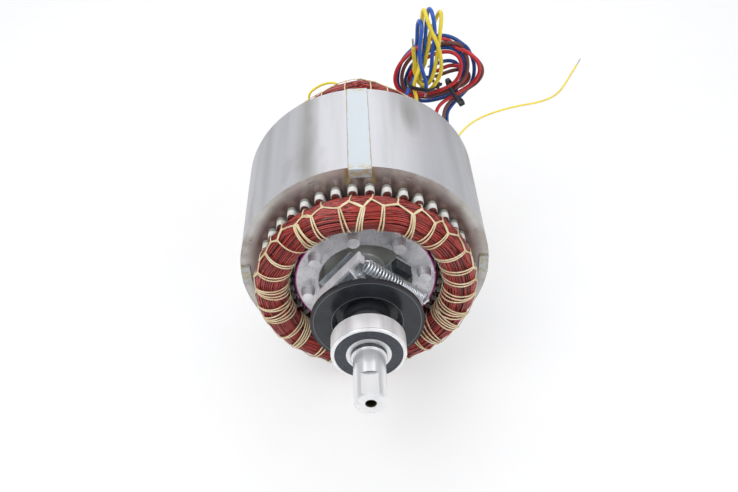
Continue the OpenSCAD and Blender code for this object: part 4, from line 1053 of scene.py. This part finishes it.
def lacing(side, seed):
    made = np.random.default_rng(seed)
    uppers, lowers = [], []
    for k in range(KNOT_PAIRS):
        phi = k * PAIR_STEP + made.uniform(-0.16, 0.16) * PAIR_STEP
        uppers.append((math.radians(made.uniform(5, 16)), phi))
        lowers.append((math.radians(made.uniform(25, 38)), phi + made.uniform(0.32, 0.6) * PAIR_STEP))
    uppers.append((uppers[0][0], uppers[0][1] + 2 * math.pi))
    rings = []
    for upper, lower, following in zip(uppers, lowers, uppers[1:]):
        rings += zigzag(side, made, upper, lower) + zigzag(side, made, lower, following)
        rings += [knot(side, *upper), knot(side, *lower)]
        rings += tie_down(side, made, upper) + over_bundle(side, made, lower)
    obj = tube_object(side.name + "_lacing_cords", rings, "cord")
    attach(obj, "stator")
    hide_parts(side.name + "_lacing")


lacing(front, 5)
lacing(rear, 6)


# Governor springs, in the frame that X along them and Z along the shaft make
GOVERNOR_TURN = math.radians(-40.5)
SPRING_HEIGHT = 83.0
SPRING_ACROSS = 24.0


def in_governor(points):
    """From along the springs, across them and along the shaft to the motor's frame, in metres."""
    s, n, z = (np.asarray(points, float) * MM).T
    c, q = math.cos(GOVERNOR_TURN), math.sin(GOVERNOR_TURN)
    return np.stack([c * s - q * n, -z, q * s + c * n], axis=1)


def coil(start, stop, r0, r1, curls, closing):
    """Points of a helix whose radius goes from r0 to r1, with its end point where closing is 1."""
    count = curls * 18
    points = []
    for k in range(count + closing):
        t = k / count
        a = 2 * math.pi * curls * t
        r = r0 + (r1 - r0) * t**1.5
        points.append((start + (stop - start) * t, r * math.cos(a), r * math.sin(a)))
    return points


def governor_spring(name, across):
    """A hook at each end, with open coils from the left and close ones on the right."""
    r_open, r_close = 4.7, 4.15
    open_from, close_from, close_to = -19.8, 12.2, 33.2
    points = [(-25.95, 0, 0), (-24.8, 0, 0), (-23.2, 0.6, -0.2), (-21.5, 2.6, -0.8)]
    points += coil(open_from, close_from, r_open, r_close, 12, 0)
    points += coil(close_from, close_to, r_close, r_close, 13, 1)
    points += [(33.9, 2.4, 0.9), (34.6, 0.4, 0.2), (35.95, 0, 0)]
    path = in_governor([(s, across + y, SPRING_HEIGHT + z) for s, y, z in points])
    obj = tube_object(name + "_spring", [tube_rings(path, 0.58 * MM, 8)], "spring")
    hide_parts(name + "_governor_spring")
    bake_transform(obj)


governor_spring("upper", SPRING_ACROSS)
governor_spring("lower", -SPRING_ACROSS)


# Floor, backdrop and light
def add_floor():
    """A white sheet under the motor that curves up behind it."""
    width, near_edge, rise_from = 6.0, -1.6, 2.2
    curve = 0.35
    rows = 25
    share = np.linspace(0, 1, rows)
    x, y = np.meshgrid((share - 0.5) * width, share * width + near_edge, indexing="ij")
    z = FLOOR_Z + curve * np.maximum(0, y - rise_from) ** 2
    corners = [i * rows + j for i in range(rows - 1) for j in range(rows - 1)]
    faces = [(a, a + rows, a + rows + 1, a + 1) for a in corners]
    mesh = bpy.data.meshes.new("floor")
    mesh.from_pydata(np.stack([x, y, z], axis=-1).reshape(-1, 3).tolist(), [], faces)
    mesh.shade_smooth()
    floor = bpy.data.objects.new("floor", mesh)
    bpy.context.scene.collection.objects.link(floor)
    g = Graph("floor_sheet", roughness=0.7)
    g.colour(g.ramp(g.noise(30, 2.0), (0.3, (0.93, 0.93, 0.935)), (0.7, (0.95, 0.95, 0.955))))
    rays = g.node("ShaderNodeLightPath").outputs
    seen = g.maths("MAXIMUM", rays["Is Camera Ray"], rays["Is Glossy Ray"])
    seen = g.maths("MAXIMUM", seen, rays["Is Transmission Ray"])
    white = g.node("ShaderNodeEmission", {"Color": (1, 1, 1, 1), "Strength": 1.0})
    g.surface("Material Output", g.times(seen, 0.55), g.shader.outputs["BSDF"], white.outputs["Emission"])
    mesh.materials.append(g.material)


def add_light(name, at, size, power):
    """A rectangular light that aims at the middle of the core."""
    data = bpy.data.lights.new(name, "AREA")
    data.shape = "RECTANGLE"
    data.size, data.size_y = size
    data.energy = power
    light = bpy.data.objects.new(name, data)
    light.location = at
    light.rotation_euler = (Vector() - Vector(at)).to_track_quat("-Z", "Y").to_euler()
    bpy.context.scene.collection.objects.link(light)


def add_world():
    """White to the camera, and a cooler, dimmer light on the motor."""
    world = bpy.data.worlds.new("studio")
    world.use_nodes = True
    g = Tree(world)
    back = g.node("ShaderNodeBackground", {"Color": (0.93, 0.95, 1.0, 1), "Strength": 0.45})
    white = g.node("ShaderNodeBackground", {"Color": (1, 1, 1, 1), "Strength": 1.0})
    seen = g.node("ShaderNodeLightPath").outputs["Is Camera Ray"]
    g.surface("World Output", seen, back.outputs["Background"], white.outputs["Background"])
    bpy.context.scene.world = world


add_floor()
add_world()
add_light("key", (-0.55, -0.45, 1.05), (0.9, 0.9), 9.0)
add_light("fill", (0.85, -0.6, 0.8), (0.9, 0.7), 5.0)
add_light("back", (0.0, 0.95, 0.75), (1.4, 0.5), 6.0)
bpy.context.scene.view_settings.view_transform = "Standard"
